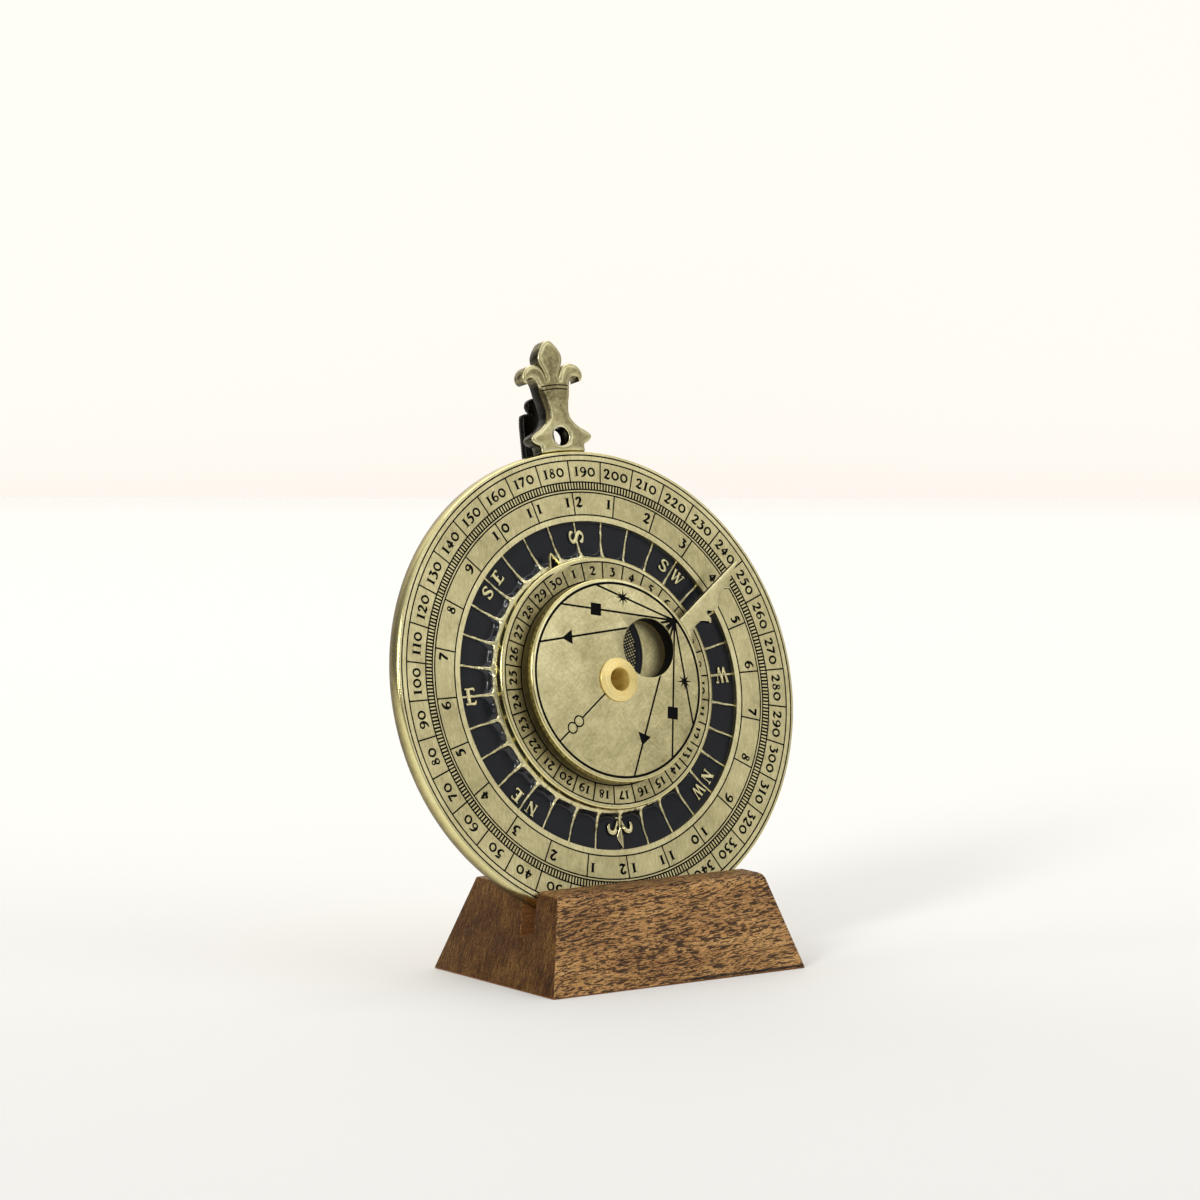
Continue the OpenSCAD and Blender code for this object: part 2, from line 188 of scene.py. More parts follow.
def shrunk(loop, k):
    """An outline scaled about its middle."""
    cx, cy = sum(p[0] for p in loop) / len(loop), sum(p[1] for p in loop) / len(loop)
    return [(cx + (x - cx) * k, cy + (y - cy) * k) for x, y in loop]


def glyph_cuts(ch, size, at, turn, bold=1.3):
    """Cut outlines of one glyph, size mm tall, its lower left corner's axis at `at`, turned clockwise by turn degrees."""
    a = -math.radians(turn)
    c, s = math.cos(a), math.sin(a)

    def tf(loop):
        return [(at[0] + size * (x * c - y * s), at[1] + size * (x * s + y * c)) for x, y in loop]

    out = []
    for stroke in GLYPH[ch][1]:
        if stroke[0] == "r":
            out.append((tf(ribbon([(x, y, w * bold) for x, y, w in stroke[1]], 4)), None))
        elif stroke[0] == "o":
            out.append((tf(shrunk(stroke[1], 1 + 0.06 * (bold - 1))), tf(shrunk(stroke[2], 1 - 0.30 * (bold - 1)))))
        else:
            out.append((tf(stroke[1]), None))
    return out


def number_on_arc(text, r_mid, deg, size, track=0.12, align="mid", bold=1.3):
    """Digits with their tops outwards, on a circle. align: mid, or end for a number that ends at deg."""
    widths = [GLYPH[ch][0] * size for ch in text]
    total = sum(widths) + track * size * (len(text) - 1)
    per = math.degrees(1 / r_mid)
    start = deg - (total / 2 if align == "mid" else total) * per
    cuts, x = [], 0
    for ch, w in zip(text, widths):
        mid = start + (x + w / 2) * per
        up_v = np.array(pol(1, mid))
        rt = np.array((up_v[1], -up_v[0]))
        at = up_v * (r_mid - size / 2) - rt * w / 2
        cuts += glyph_cuts(ch, size, at, mid, bold)
        x += w + track * size
    return cuts


def bar(p0, p1, width):
    """Cut of a straight line."""
    a, b = np.array(p0, float), np.array(p1, float)
    t = (b - a) / np.linalg.norm(b - a)
    n = np.array((-t[1], t[0])) * width / 2
    return ([tuple(a + n), tuple(a - n), tuple(b - n), tuple(b + n)], None)


def radial_bar(r0, r1, deg, width):
    return bar(pol(r0, deg), pol(r1, deg), width)


def circle_cut(r, width, n=720, c=(0, 0)):
    return (ring_pts(r + width / 2, n, c), ring_pts(r - width / 2, n, c))


# ------------------------------------------------------------------ meshes
class Build:
    """Collects vertices and faces in mm, then becomes one object."""

    def __init__(self):
        self.v, self.f, self.m = [], [], []

    def add(self, verts, faces, mats=0):
        k = len(self.v)
        self.v += [tuple(map(float, p)) for p in verts]
        self.f += [tuple(i + k for i in fc) for fc in faces]
        self.m += [mats] * len(faces) if isinstance(mats, int) else list(mats)

    def object(self, name, mats, place=DIAL, weld=1e-4, smooth=35, body=None, slot=None, replaces=()):
        me = bpy.data.meshes.new(name)
        me.from_pydata(self.v, [], self.f)
        for mt in mats:
            me.materials.append(mt)
        me.polygons.foreach_set("material_index", self.m)
        bm = bmesh.new()
        bm.from_mesh(me)
        bmesh.ops.remove_doubles(bm, verts=bm.verts, dist=weld)
        bmesh.ops.dissolve_degenerate(bm, edges=bm.edges, dist=1e-6)
        bmesh.ops.recalc_face_normals(bm, faces=bm.faces)
        bm.to_mesh(me)
        bm.free()
        me.transform(place)
        ob = bpy.data.objects.new(name, me)
        bpy.context.scene.collection.objects.link(ob)
        if smooth:
            me.polygons.foreach_set("use_smooth", [True] * len(me.polygons))
            me.set_sharp_from_angle(angle=math.radians(smooth))
        if body:
            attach(ob, body)
        if replaces:
            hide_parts(*replaces)
        return ob


def lathe(b, profile, n=360, mat=0, closed=False, twist=0.0):
    """Turns (r, z) rows about the axis. Rows at the same angles as ring_pts."""
    verts = []
    for r, z in profile:
        verts += [(r * math.cos(2 * math.pi * k / n + twist), r * math.sin(2 * math.pi * k / n + twist), z) for k in range(n)]
    faces, mats = [], []
    rows = len(profile)
    for i in range(rows if closed else rows - 1):
        j = (i + 1) % rows
        for k in range(n):
            k2 = (k + 1) % n
            faces.append((i * n + k, i * n + k2, j * n + k2, j * n + k))
            mats.append(mat if isinstance(mat, int) else mat[i])
    b.add(verts, faces, mats)


def cdt(loops, points=(), eps=1e-5):
    """Triangulates overlapping loops. Returns points, triangles and for each triangle the set of loops that hold it."""
    verts, faces = [], []
    for lp in loops:
        lp = lp if area2(lp) > 0 else lp[::-1]
        k = len(verts)
        verts += [Vector(p) for p in lp]
        faces.append(list(range(k, k + len(lp))))
    verts += [Vector(p) for p in points]
    vo, eo, fo, ov, oe, of = delaunay_2d_cdt(verts, [], faces, 0, eps, True)
    return np.array([(p.x, p.y) for p in vo]), fo, [set(o) for o in of]


def sheet(b, outer, holes, cuts, z, depth, up=True, mat_top=0, mat_cut=1, points=(), height=None, floor=None):
    """A flat face with engraved cuts: outer and holes bound it, and each cut is (outline, inner outline or None)."""
    loops, role = [], []
    for lp in outer:
        loops.append(lp)
        role.append("outer")
    for lp in holes:
        loops.append(lp)
        role.append("hole")
    pair = {}
    for out, inn in cuts:
        loops.append(out)
        k = len(loops) - 1
        role.append("cut")
        if inn is not None:
            loops.append(inn)
            role.append("inner")
            pair[k] = len(loops) - 1
    pts, tris, owners = cdt(loops, points)
    is_outer = {i for i, r in enumerate(role) if r == "outer"}
    is_hole = {i for i, r in enumerate(role) if r == "hole"}
    is_cut = {i for i, r in enumerate(role) if r == "cut"}
    sgn = 1 if up else -1
    top_z = (lambda x, y: z) if height is None else height
    verts, index = [], {}

    def vert(i, low):
        key = (i, low)
        if key not in index:
            index[key] = len(verts)
            zz = top_z(*pts[i])
            lz = floor if floor is not None else zz - sgn * depth
            verts.append((pts[i][0], pts[i][1], lz if low else zz))
        return index[key]

    faces, mats, edges = [], [], {}
    for t, own in zip(tris, owners):
        if not (own & is_outer) or (own & is_hole):
            continue
        low = any(k not in pair or pair[k] not in own for k in own & is_cut)
        f = [vert(i, low) for i in t]
        faces.append(f if up else f[::-1])
        mats.append(mat_cut if low else mat_top)
        for i, j in zip(t, t[1:] + t[:1]):
            edges.setdefault(frozenset((i, j)), []).append((i, j, low))
    for e in edges.values():
        if len(e) == 2 and e[0][2] != e[1][2]:
            i, j, low = e[0] if not e[0][2] else e[1]
            f = [vert(i, False), vert(i, True), vert(j, True), vert(j, False)]
            faces.append(f if up else f[::-1])
            mats.append(mat_cut)
        elif len(e) == 1 and e[0][2]:
            i, j, low = e[0]
            f = [vert(i, True), vert(i, False), vert(j, False), vert(j, True)]
            faces.append(f[::-1] if up else f)
            mats.append(mat_cut)
    b.add(verts, faces, mats)


def disc_to_segments(pts, segs):
    """Distance of each point to the nearest of the segments [(ax, ay, bx, by)]."""
    p = np.asarray(pts, float)[:, None, :]
    s = np.asarray(segs, float)
    a, d = s[:, :2][None], (s[:, 2:] - s[:, :2])[None]
    out = np.empty(len(pts))
    step = max(1, 2_000_000 // max(1, len(segs)))
    for k in range(0, len(pts), step):
        q = p[k:k + step] - a
        t = np.clip((q * d).sum(-1) / np.maximum((d * d).sum(-1), 1e-12), 0, 1)
        out[k:k + step] = np.sqrt(((q - t[..., None] * d) ** 2).sum(-1).min(1))
    return out


def union_border(loops, holes=()):
    """Border segments of the union of outlines less the holes: [(ax, ay, bx, by)], with the inside on the left."""
    pts, tris, owners = cdt(list(loops) + list(holes))
    n = len(loops)
    inside = [bool(o and min(o) < n and not any(k >= n for k in o)) for o in owners]
    seen = {}
    for t, ok in zip(tris, inside):
        if ok:
            for i, j in zip(t, t[1:] + t[:1]):
                seen[(i, j)] = True
    out = [(i, j) for i, j in seen if (j, i) not in seen]
    return [(*pts[i], *pts[j]) for i, j in out]


def pillow(b, loops, z0, z1, r_top, r_bot=0.0, holes=(), grid=0.5, mat=0, crown=None, levels=5, extra=(), inked=None, drop=1.0):
    """A plate between z0 and z1 with rounded edges, from a union of outlines. drop flattens the upper rounding."""
    segs = union_border(loops, holes)
    sg = np.array(segs)
    lens = np.hypot(sg[:, 2] - sg[:, 0], sg[:, 3] - sg[:, 1])
    # border points, split so that no stretch is longer than the grid
    edge_pts, border = [], []
    for (ax, ay, bx, by), ln in zip(segs, lens):
        n = max(1, int(math.ceil(ln / grid)))
        for k in range(n):
            border.append(((ax + (bx - ax) * k / n, ay + (by - ay) * k / n), (ax + (bx - ax) * (k + 1) / n, ay + (by - ay) * (k + 1) / n)))
    rr = max(r_top, r_bot)
    fr = [math.sin(math.pi / 2 * i / levels) for i in range(1, levels + 1)]
    depths = sorted({round(rr * (1 - math.cos(math.pi / 2 * i / levels)), 5) for i in range(1, levels + 1)})
    cand = []
    for (ax, ay), (bx, by) in border:
        tx, ty = bx - ax, by - ay
        ln = math.hypot(tx, ty)
        nx, ny = -ty / ln, tx / ln
        for d in depths:
            cand.append((ax + tx / 2 + nx * d, ay + ty / 2 + ny * d, d))
    lo, hi = sg[:, :2].min(0), sg[:, :2].max(0)
    gx = np.arange(lo[0], hi[0], grid)
    gy = np.arange(lo[1], hi[1], grid * 0.87)
    inner = [(x + (grid / 2 if j % 2 else 0), y) for j, y in enumerate(gy) for x in gx]
    di = disc_to_segments(inner, segs)
    pts = [p for p, d in zip(inner, di) if d > rr + grid * 0.35]
    dc = disc_to_segments([c[:2] for c in cand], segs)
    pts += [c[:2] for c, d in zip(cand, dc) if abs(d - c[2]) < 0.12 * c[2] + 1e-6]
    # thin the points that lie nearly on each other
    seen, keep = set(), []
    for p in pts:
        key = (round(p[0] / 0.03), round(p[1] / 0.03))
        if key not in seen:
            seen.add(key)
            keep.append(p)
    # triangulate the border with the points inside
    key_of, verts2, edges = {}, [], []
    for p, q in border:
        ij = []
        for c in (p, q):
            k = (round(c[0], 6), round(c[1], 6))
            if k not in key_of:
                key_of[k] = len(verts2)
                verts2.append(Vector(c))
            ij.append(key_of[k])
        edges.append(tuple(ij))
    verts2 += [Vector(p) for p in keep] + [Vector(p) for p in extra]
    vo, eo, fo, ov, oe, of = delaunay_2d_cdt(verts2, edges, [], 0, 1e-6, True)
    P = np.array([(p.x, p.y) for p in vo])
    # inside test at each triangle's middle, by ray casting
    T = np.array([f for f in fo if len(f) == 3])
    mid = P[T].mean(1)
    ins = np.zeros(len(T), bool)
    for ax, ay, bx, by in segs:
        c = (ay > mid[:, 1]) != (by > mid[:, 1])
        if c.any():
            xx = ax + (mid[:, 1] - ay) * (bx - ax) / (by - ay if by != ay else 1e-12)
            ins ^= c & (mid[:, 0] < xx)
    T = T[ins]
    d = disc_to_segments(P, segs)

    def rise(dist, r):
        if r <= 0:
            return np.zeros_like(dist)
        x = np.clip(dist, 0, r)
        return r - np.sqrt(np.maximum(r * r - (r - x) ** 2, 0))

    zt = z1 - drop * rise(d, r_top)
    zb = z0 + rise(d, r_bot)
    if crown is not None:
        zt = zt + crown(P, d)
    used = sorted(set(T.ravel()))
    idx = {v: i for i, v in enumerate(used)}
    top = [(P[v][0], P[v][1], zt[v]) for v in used]
    bot = [(P[v][0], P[v][1], zb[v]) for v in used]
    n = len(used)
    faces = [tuple(idx[i] for i in t) for t in T]
    faces += [tuple(idx[i] + n for i in t[::-1]) for t in T]
    seen = {}
    for t in T:
        for i, j in zip(t, np.roll(t, -1)):
            seen[(int(i), int(j))] = True
    rim = [(i, j) for i, j in seen if (j, i) not in seen]
    faces += [(idx[j], idx[i], idx[i] + n, idx[j] + n) for i, j in rim]
    mats = [mat] * len(faces)
    if inked is not None:
        for k, on in enumerate(inked(P[T].mean(1))):
            mats[k] = 1 if on else mat
    b.add(top + bot, faces, mats)


# ------------------------------------------------------------------ materials
class Nodes:
    """Short hand for a material's node tree."""

    def __init__(self, name, metallic=0.0, rough=0.5, base=(0.5, 0.5, 0.5)):
        self.m = bpy.data.materials.new(name)
        self.m.use_nodes = True
        self.t = self.m.node_tree
        self.s = self.t.nodes["Principled BSDF"]
        self.s.inputs["Base Color"].default_value = (*base, 1)
        self.s.inputs["Metallic"].default_value = metallic
        self.s.inputs["Roughness"].default_value = rough
        self.tc = self.t.nodes.new("ShaderNodeTexCoord")

    def put(self, sock, v):
        if isinstance(v, bpy.types.NodeSocket):
            self.t.links.new(v, sock)
        else:
            sock.default_value = v

    def space(self, dial=True):
        """Object coordinates in mm, in the dial frame or in the row frame."""
        n = self.t.nodes.new("ShaderNodeMapping")
        n.vector_type = "TEXTURE"
        if dial:
            n.inputs["Location"].default_value = (0, Y_SHIFT * MM, CENTRE_H * MM)
            n.inputs["Rotation"].default_value = (math.radians(90) - LEAN, 0, 0)
        n.inputs["Scale"].default_value = (MM, MM, MM)
        self.t.links.new(self.tc.outputs["Object"], n.inputs["Vector"])
        return n.outputs["Vector"]

    def mapped(self, vec, scale=(1, 1, 1), turn=(0, 0, 0), shift=(0, 0, 0)):
        r = self.t.nodes.new("ShaderNodeMapping")
        r.vector_type = "POINT"
        r.inputs["Rotation"].default_value = [math.radians(a) for a in turn]
        r.inputs["Location"].default_value = shift
        self.t.links.new(vec, r.inputs["Vector"])
        k = self.t.nodes.new("ShaderNodeMapping")
        k.vector_type = "POINT"
        k.inputs["Scale"].default_value = scale
        self.t.links.new(r.outputs["Vector"], k.inputs["Vector"])
        return k.outputs["Vector"]

    def noise(self, vec, scale=1.0, detail=3.0, rough=0.55, distort=0.0):
        n = self.t.nodes.new("ShaderNodeTexNoise")
        n.inputs["Scale"].default_value = scale
        n.inputs["Detail"].default_value = detail
        n.inputs["Roughness"].default_value = rough
        n.inputs["Distortion"].default_value = distort
        self.t.links.new(vec, n.inputs["Vector"])
        return n.outputs["Fac"]

    def cells(self, vec, scale=1.0, rand=1.0):
        n = self.t.nodes.new("ShaderNodeTexVoronoi")
        n.inputs["Scale"].default_value = scale
        n.inputs["Randomness"].default_value = rand
        self.t.links.new(vec, n.inputs["Vector"])
        return n.outputs["Distance"]

    def math(self, op, a, b=0.0, c=None, clamp=False):
        n = self.t.nodes.new("ShaderNodeMath")
        n.operation = op
        n.use_clamp = clamp
        self.put(n.inputs[0], a)
        self.put(n.inputs[1], b)
        if c is not None:
            self.put(n.inputs[2], c)
        return n.outputs[0]

    def remap(self, v, a, b, lo=0.0, hi=1.0, smooth=True):
        n = self.t.nodes.new("ShaderNodeMapRange")
        n.interpolation_type = "SMOOTHSTEP" if smooth else "LINEAR"
        self.put(n.inputs["Value"], v)
        n.inputs["From Min"].default_value = a
        n.inputs["From Max"].default_value = b
        n.inputs["To Min"].default_value = lo
        n.inputs["To Max"].default_value = hi
        return n.outputs["Result"]

    def add(self, *terms):
        """Sum of (socket, weight) with each socket centred on a half."""
        out = None
        for sock, w in terms:
            t = self.math("MULTIPLY_ADD", sock, w, -0.5 * w)
            out = t if out is None else self.math("ADD", out, t)
        return out

    def ramp(self, v, stops, mode="LINEAR"):
        n = self.t.nodes.new("ShaderNodeValToRGB")
        n.color_ramp.interpolation = mode
        el = n.color_ramp.elements
        while len(el) < len(stops):
            el.new(0.5)
        for e, (p, c) in zip(el, stops):
            e.position = p
            e.color = (*c, 1) if len(c) == 3 else (c[0], c[0], c[0], 1)
        self.put(n.inputs["Fac"], v)
        return n.outputs["Color"]

    def mix(self, f, a, b, mode="MIX"):
        n = self.t.nodes.new("ShaderNodeMix")
        n.data_type = "RGBA"
        n.blend_type = mode
        self.put(n.inputs["Factor"], f)
        for sock, v in ((n.inputs[6], a), (n.inputs[7], b)):
            self.put(sock, v if isinstance(v, bpy.types.NodeSocket) else (*v, 1))
        return n.outputs[2]

    def facing(self, axis):
        """Dot of the object's own normal with an axis."""
        n = self.t.nodes.new("ShaderNodeVectorMath")
        n.operation = "DOT_PRODUCT"
        self.t.links.new(self.tc.outputs["Normal"], n.inputs[0])
        n.inputs[1].default_value = axis
        return n.outputs["Value"]

    def radius(self, vec):
        s = self.t.nodes.new("ShaderNodeSeparateXYZ")
        self.t.links.new(vec, s.inputs[0])
        return self.math("SQRT", self.math("ADD", self.math("MULTIPLY", s.outputs[0], s.outputs[0]), self.math("MULTIPLY", s.outputs[1], s.outputs[1])))

    def bump(self, h, dist, strength=1.0, onto=None):
        n = self.t.nodes.new("ShaderNodeBump")
        n.inputs["Strength"].default_value = strength
        n.inputs["Distance"].default_value = dist
        self.put(n.inputs["Height"], h)
        if onto is not None:
            self.t.links.new(onto, n.inputs["Normal"])
        return n.outputs["Normal"]

    def out(self, name, v):
        self.put(self.s.inputs[name], v)


def material(name, base, metallic=0.0, rough=0.5):
    return Nodes(name, metallic, rough, base).m


W_AXIS = (0, -CL, SL)
OXIDE = (0.020, 0.019, 0.015)


def brass(name, bands=None, brush=((90, 1.0),), tone=0.0, patch=0.5, cast=0.0, shift=0, rough=0.40, depth=None, worn=0.16, grit=0.32, wear=(0.999, 0.93), lift=None, tint=None, lean=None, shade=None):
    """Antiqued brass: brushed, with darker patches, and paler where an edge is worn. bands: (radius, tone) and depth:
    (w, tone) stops. depth and lean can paint shade and highlights by place, and lift paints highlights on side walls.
    """
    k = Nodes(name, 1.0, 0.4)
    p = k.space()
    p = k.mapped(p, shift=(shift, 0.3 * shift, 0)) if shift else p
    big = k.noise(p, 0.055, 4, 0.6, 0.6)
    mid = k.noise(k.mapped(p, shift=(13, 5, 2)), 0.30, 5, 0.62, 0.3)
    grain = k.noise(p, 7.0, 3, 0.7)
    fleck = k.noise(p, 1.5, 3, 0.6)
    terms = [(big, 0.62 * patch), (mid, 0.50 * patch), (fleck, 0.34 * patch), (grain, grit)]
    height = None
    for ang, w in brush:
        # ang is the direction of the strokes, from the x axis
        v = k.mapped(p, (0.30, 8.0, 1.0), (0, 0, -ang))
        s1 = k.noise(v, 1.0, 4, 0.65)
        v2 = k.mapped(p, (0.9, 19.0, 2.0), (0, 0, -ang), (3, 1, 0))
        s2 = k.noise(v2, 1.0, 2, 0.6)
        terms += [(s1, 0.72 * w), (s2, 0.62 * w)]
        h = k.math("MULTIPLY_ADD", s1, w, k.math("MULTIPLY", s2, 0.6 * w))
        height = h if height is None else k.math("ADD", height, h)
    t = k.add(*terms)
    t = k.math("ADD", t, 0.5 + tone)
    if bands:
        r = k.math("DIVIDE", k.radius(k.space()), 50.0)
        b = k.ramp(r, [(q / 50.0, (0.5 + v,)) for q, v in bands])
        t = k.math("ADD", t, k.math("SUBTRACT", b, 0.5))
    # tone by height along the axis; on the rim this paints shade towards the back and a highlight near the front
    if depth:
        z = k.t.nodes.new("ShaderNodeSeparateXYZ")
        k.t.links.new(k.space(), z.inputs[0])
        b = k.ramp(k.math("MULTIPLY_ADD", z.outputs[2], 0.1, 0.4), [((q + 4) / 10, (0.5 + v,)) for q, v in depth])
        t = k.math("ADD", t, k.math("SUBTRACT", b, 0.5))
    # a straight slope of tone across the part: painted light and shade
    if lean:
        z = k.t.nodes.new("ShaderNodeSeparateXYZ")
        k.t.links.new(k.space(), z.inputs[0])
        t = k.math("ADD", t, k.math("ADD", k.math("MULTIPLY", z.outputs[0], lean[0]), k.math("MULTIPLY", z.outputs[1], lean[1])))
    face = k.facing(W_AXIS)
    # worn, paler edges where the surface starts to turn over
    edge = k.math("MULTIPLY", k.remap(face, *wear), k.remap(face, 0.05, 0.45))
    t = k.math("ADD", t, k.math("MULTIPLY", edge, worn))
    if shade:                        # a dark edge left of a line through (v, x)
        z = k.t.nodes.new("ShaderNodeSeparateXYZ")
        k.t.links.new(k.space(), z.inputs[0])
        x0 = k.ramp(k.math("MULTIPLY_ADD", z.outputs[1], 0.05, -2.2), [((q - 44) / 20, ((v + 10) / 20,)) for q, v in shade])
        off = k.math("SUBTRACT", z.outputs[0], k.math("MULTIPLY_ADD", x0, 20.0, -10.0))
        off = k.math("ADD", off, k.math("MULTIPLY_ADD", fleck, 0.8, -0.4))
        t = k.math("SUBTRACT", t, k.math("MULTIPLY", k.remap(off, 0.25, -0.45), 0.75))
    col = k.ramp(t, [(0.0, (0.085, 0.068, 0.034)), (0.22, (0.21, 0.175, 0.088)), (0.45, (0.45, 0.395, 0.205)),
                     (0.62, (0.60, 0.535, 0.29)), (0.85, (0.80, 0.735, 0.43)), (1.0, (0.90, 0.85, 0.55))])
    rg = k.remap(t, 0.1, 0.95, rough + 0.13, rough - 0.10, smooth=False)
    if cast:
        # side walls keep the dark oxide
        side = k.remap(k.math("ADD", k.math("ABSOLUTE", face), k.math("MULTIPLY_ADD", mid, 0.3, -0.15)), 0.60, 0.30)
        if lift:                     # some walls are made paler at given heights: painted highlight where they face the light
            z = k.t.nodes.new("ShaderNodeSeparateXYZ")
            k.t.links.new(k.space(), z.inputs[0])
            wall_highlight = k.ramp(k.math("MULTIPLY_ADD", z.outputs[1], 0.05, -2.2), [((q - 44) / 20, (v,)) for q, v in lift])
            side = k.math("MULTIPLY", side, k.math("SUBTRACT", 1.0, k.math("MULTIPLY", wall_highlight, k.remap(fleck, 0.35, 0.6, 0.6, 1.0))))
        col = k.mix(side, col, (0.007, 0.0065, 0.006))
        rg = k.math("ADD", rg, k.math("MULTIPLY", side, -0.16))
    if tint:
        col = k.mix(1.0, col, tint, "MULTIPLY")
    k.out("Base Color", col)
    k.out("Roughness", rg)
    n1 = k.bump(height, 0.000010, 0.55)
    n2 = k.bump(k.math("ADD", k.math("MULTIPLY", grain, 0.5), mid), 0.000045 if cast else 0.00002, 0.6, n1)
    k.out("Normal", n2)
    k.s.inputs["Anisotropic"].default_value = 0.0
    return k.m


PLATE_BANDS = [(0, 0.0), (22.4, 0.02), (22.9, 0.14), (24.5, 0.10), (29.6, 0.12), (30.5, 0.14), (30.8, 0.025), (34.5, 0.025),
               (34.8, 0.07), (36.5, 0.07), (36.8, 0.05), (40.3, 0.05), (40.6, 0.10), (41.5, 0.12), (42.2, 0.14)]
M_BRASS = brass("aged_brass_plate", PLATE_BANDS, ((88, 1.0),), tone=0.045, patch=0.62)
M_MOON = brass("aged_brass_moon", [(0, 0.0), (10, -0.02), (18.3, -0.04), (18.6, -0.10), (21.5, -0.08), (21.9, 0.10), (22.6, 0.16)],
               ((35, 0.6), (118, 0.4)), tone=0.03, patch=0.8, shift=31)
# the aspect disc is painted lighter towards its upper left and darker towards its lower right: painted light and shade
M_ASPECT = brass("aged_brass_aspect", [(0, 0.05), (17.1, 0.05), (17.7, 0.16), (18.3, 0.2)], ((42, 0.55), (131, 0.45), (8, 0.3)), tone=0.035, patch=0.8, shift=57, grit=0.68, lean=(-0.002, 0.007))
M_REAR = brass("aged_brass_rear", [(0, 0.0), (26, 0.0), (27, 0.08), (32, 0.1)], ((88, 0.8),), patch=0.6, shift=83)
# the cast brass darkens towards the handle's top (painted shade) and some side walls are made paler at given heights
# (painted highlight)
M_CAST = brass("aged_brass_cast", None, ((86, 0.30),), tone=0.045, lean=(0.0, -0.003), patch=1.3, cast=1.0, shift=12, rough=0.38, worn=0.42, grit=0.60, wear=(0.9999, 0.985),
               shade=[(44, -9.5), (46.6, -9.0), (47.4, -2.8), (48.4, -1.75), (49.4, -1.45), (51.3, -1.65), (53.4, -2.25), (54.4, -3.4), (55.2, -9.0)],
               lift=[(44, 0.12), (54.8, 0.10), (55.8, 0.85), (58.2, 0.85), (58.8, 0.15), (60.6, 0.25), (62, 0.8)])
# the rim is painted darker towards its back and lighter near its front edge: painted shade and highlight
M_RIM = brass("polished_rim_painted_shading", None, ((88, 0.10),), tone=0.07, patch=0.6, shift=71, rough=0.24, tint=(0.98, 0.965, 0.82),
              depth=[(-3.3, -0.52), (-2.6, -0.42), (-1.8, -0.26), (-1.2, -0.08), (-0.8, 0.12), (-0.1, 0.16), (0.6, 0.12), (6.0, 0.08)])
M_BLADE = brass("aged_brass_blade", None, ((36, 0.6),), tone=0.12, patch=0.8, cast=1.0, shift=44, rough=0.36, worn=0.25)
M_LETTER = brass("aged_brass_letter", None, ((60, 0.2),), tone=0.22, patch=0.4, cast=1.0, shift=5, rough=0.34)


def ink():
    k = Nodes("line_filler", 0.0, 0.6, (0.008, 0.008, 0.009))
    p = k.space()
    n = k.noise(p, 3.0, 3, 0.6)
    k.out("Base Color", k.ramp(n, [(0.3, (0.0015, 0.0015, 0.002)), (0.8, (0.0075, 0.007, 0.0065))]))
    k.out("Roughness", k.remap(n, 0.2, 0.8, 0.5, 0.8))
    k.s.inputs["Specular IOR Level"].default_value = 0.07
    k.out("Normal", k.bump(n, 0.00003, 0.5))
    return k.m


M_INK = ink()


def turned_brass(name, metal):
    k = Nodes(name, 0.5, 0.22)
    p = k.space()
    r = k.radius(p)
    rings = k.noise(k.mapped(p, (0.3, 0.3, 0.3)), 1.0, 2)
    # cutter marks follow the radius
    n = k.t.nodes.new("ShaderNodeTexNoise")
    n.noise_dimensions = "1D"
    n.inputs["Scale"].default_value = 9.0
    n.inputs["Detail"].default_value = 3
    k.put(n.inputs["W"], r)
    marks = n.outputs["Fac"]
    w = k.t.nodes.new("ShaderNodeSeparateXYZ")
    k.t.links.new(p, w.inputs[0])
    n2 = k.t.nodes.new("ShaderNodeTexNoise")
    n2.noise_dimensions = "1D"
    n2.inputs["Scale"].default_value = 5.0
    n2.inputs["Detail"].default_value = 3
    k.put(n2.inputs["W"], w.outputs[2])
    t = k.math("ADD", k.add((marks, 0.5), (n2.outputs["Fac"], 0.35), (rings, 0.5)), 0.5)
    inside = k.remap(r, 2.32, 2.10)
    col = k.ramp(t, [(0.1, (0.66, 0.45, 0.13)), (0.45, (1.0, 0.77, 0.28)), (0.85, (1.0, 0.92, 0.50))])
    col = k.mix(inside, col, k.ramp(t, [(0.2, (0.90, 0.64, 0.16)), (0.7, (1.0, 0.90, 0.40))]))
    k.out("Base Color", col)
    k.out("Metallic", k.math("MULTIPLY_ADD", inside, 0.80 - metal, metal))
    k.out("Roughness", k.math("ADD", k.remap(t, 0.2, 0.8, 0.34, 0.20), k.math("MULTIPLY", inside, 0.2)))
    grit = k.noise(p, 3.5, 4, 0.7)
    b1 = k.bump(k.math("ADD", marks, n2.outputs["Fac"]), 0.00003, 0.7)
    k.out("Normal", k.bump(k.math("MULTIPLY", grit, inside), 0.0002, 0.8, b1))
    # the cutter's circles stretch the highlights along the radius
    out = k.t.nodes.new("ShaderNodeCombineXYZ")
    k.put(out.inputs[0], w.outputs[0])
    k.put(out.inputs[1], k.math("MULTIPLY", w.outputs[1], 0.2588))
    k.put(out.inputs[2], k.math("MULTIPLY", w.outputs[1], 0.9659))
    k.t.links.new(out.outputs[0], k.s.inputs["Tangent"])
    k.s.inputs["Anisotropic"].default_value = 0.6
    return k.m


M_BRIGHT = turned_brass("turned_brass_hub", 0.38)
M_TURNED = turned_brass("turned_brass_small_parts", 0.92)


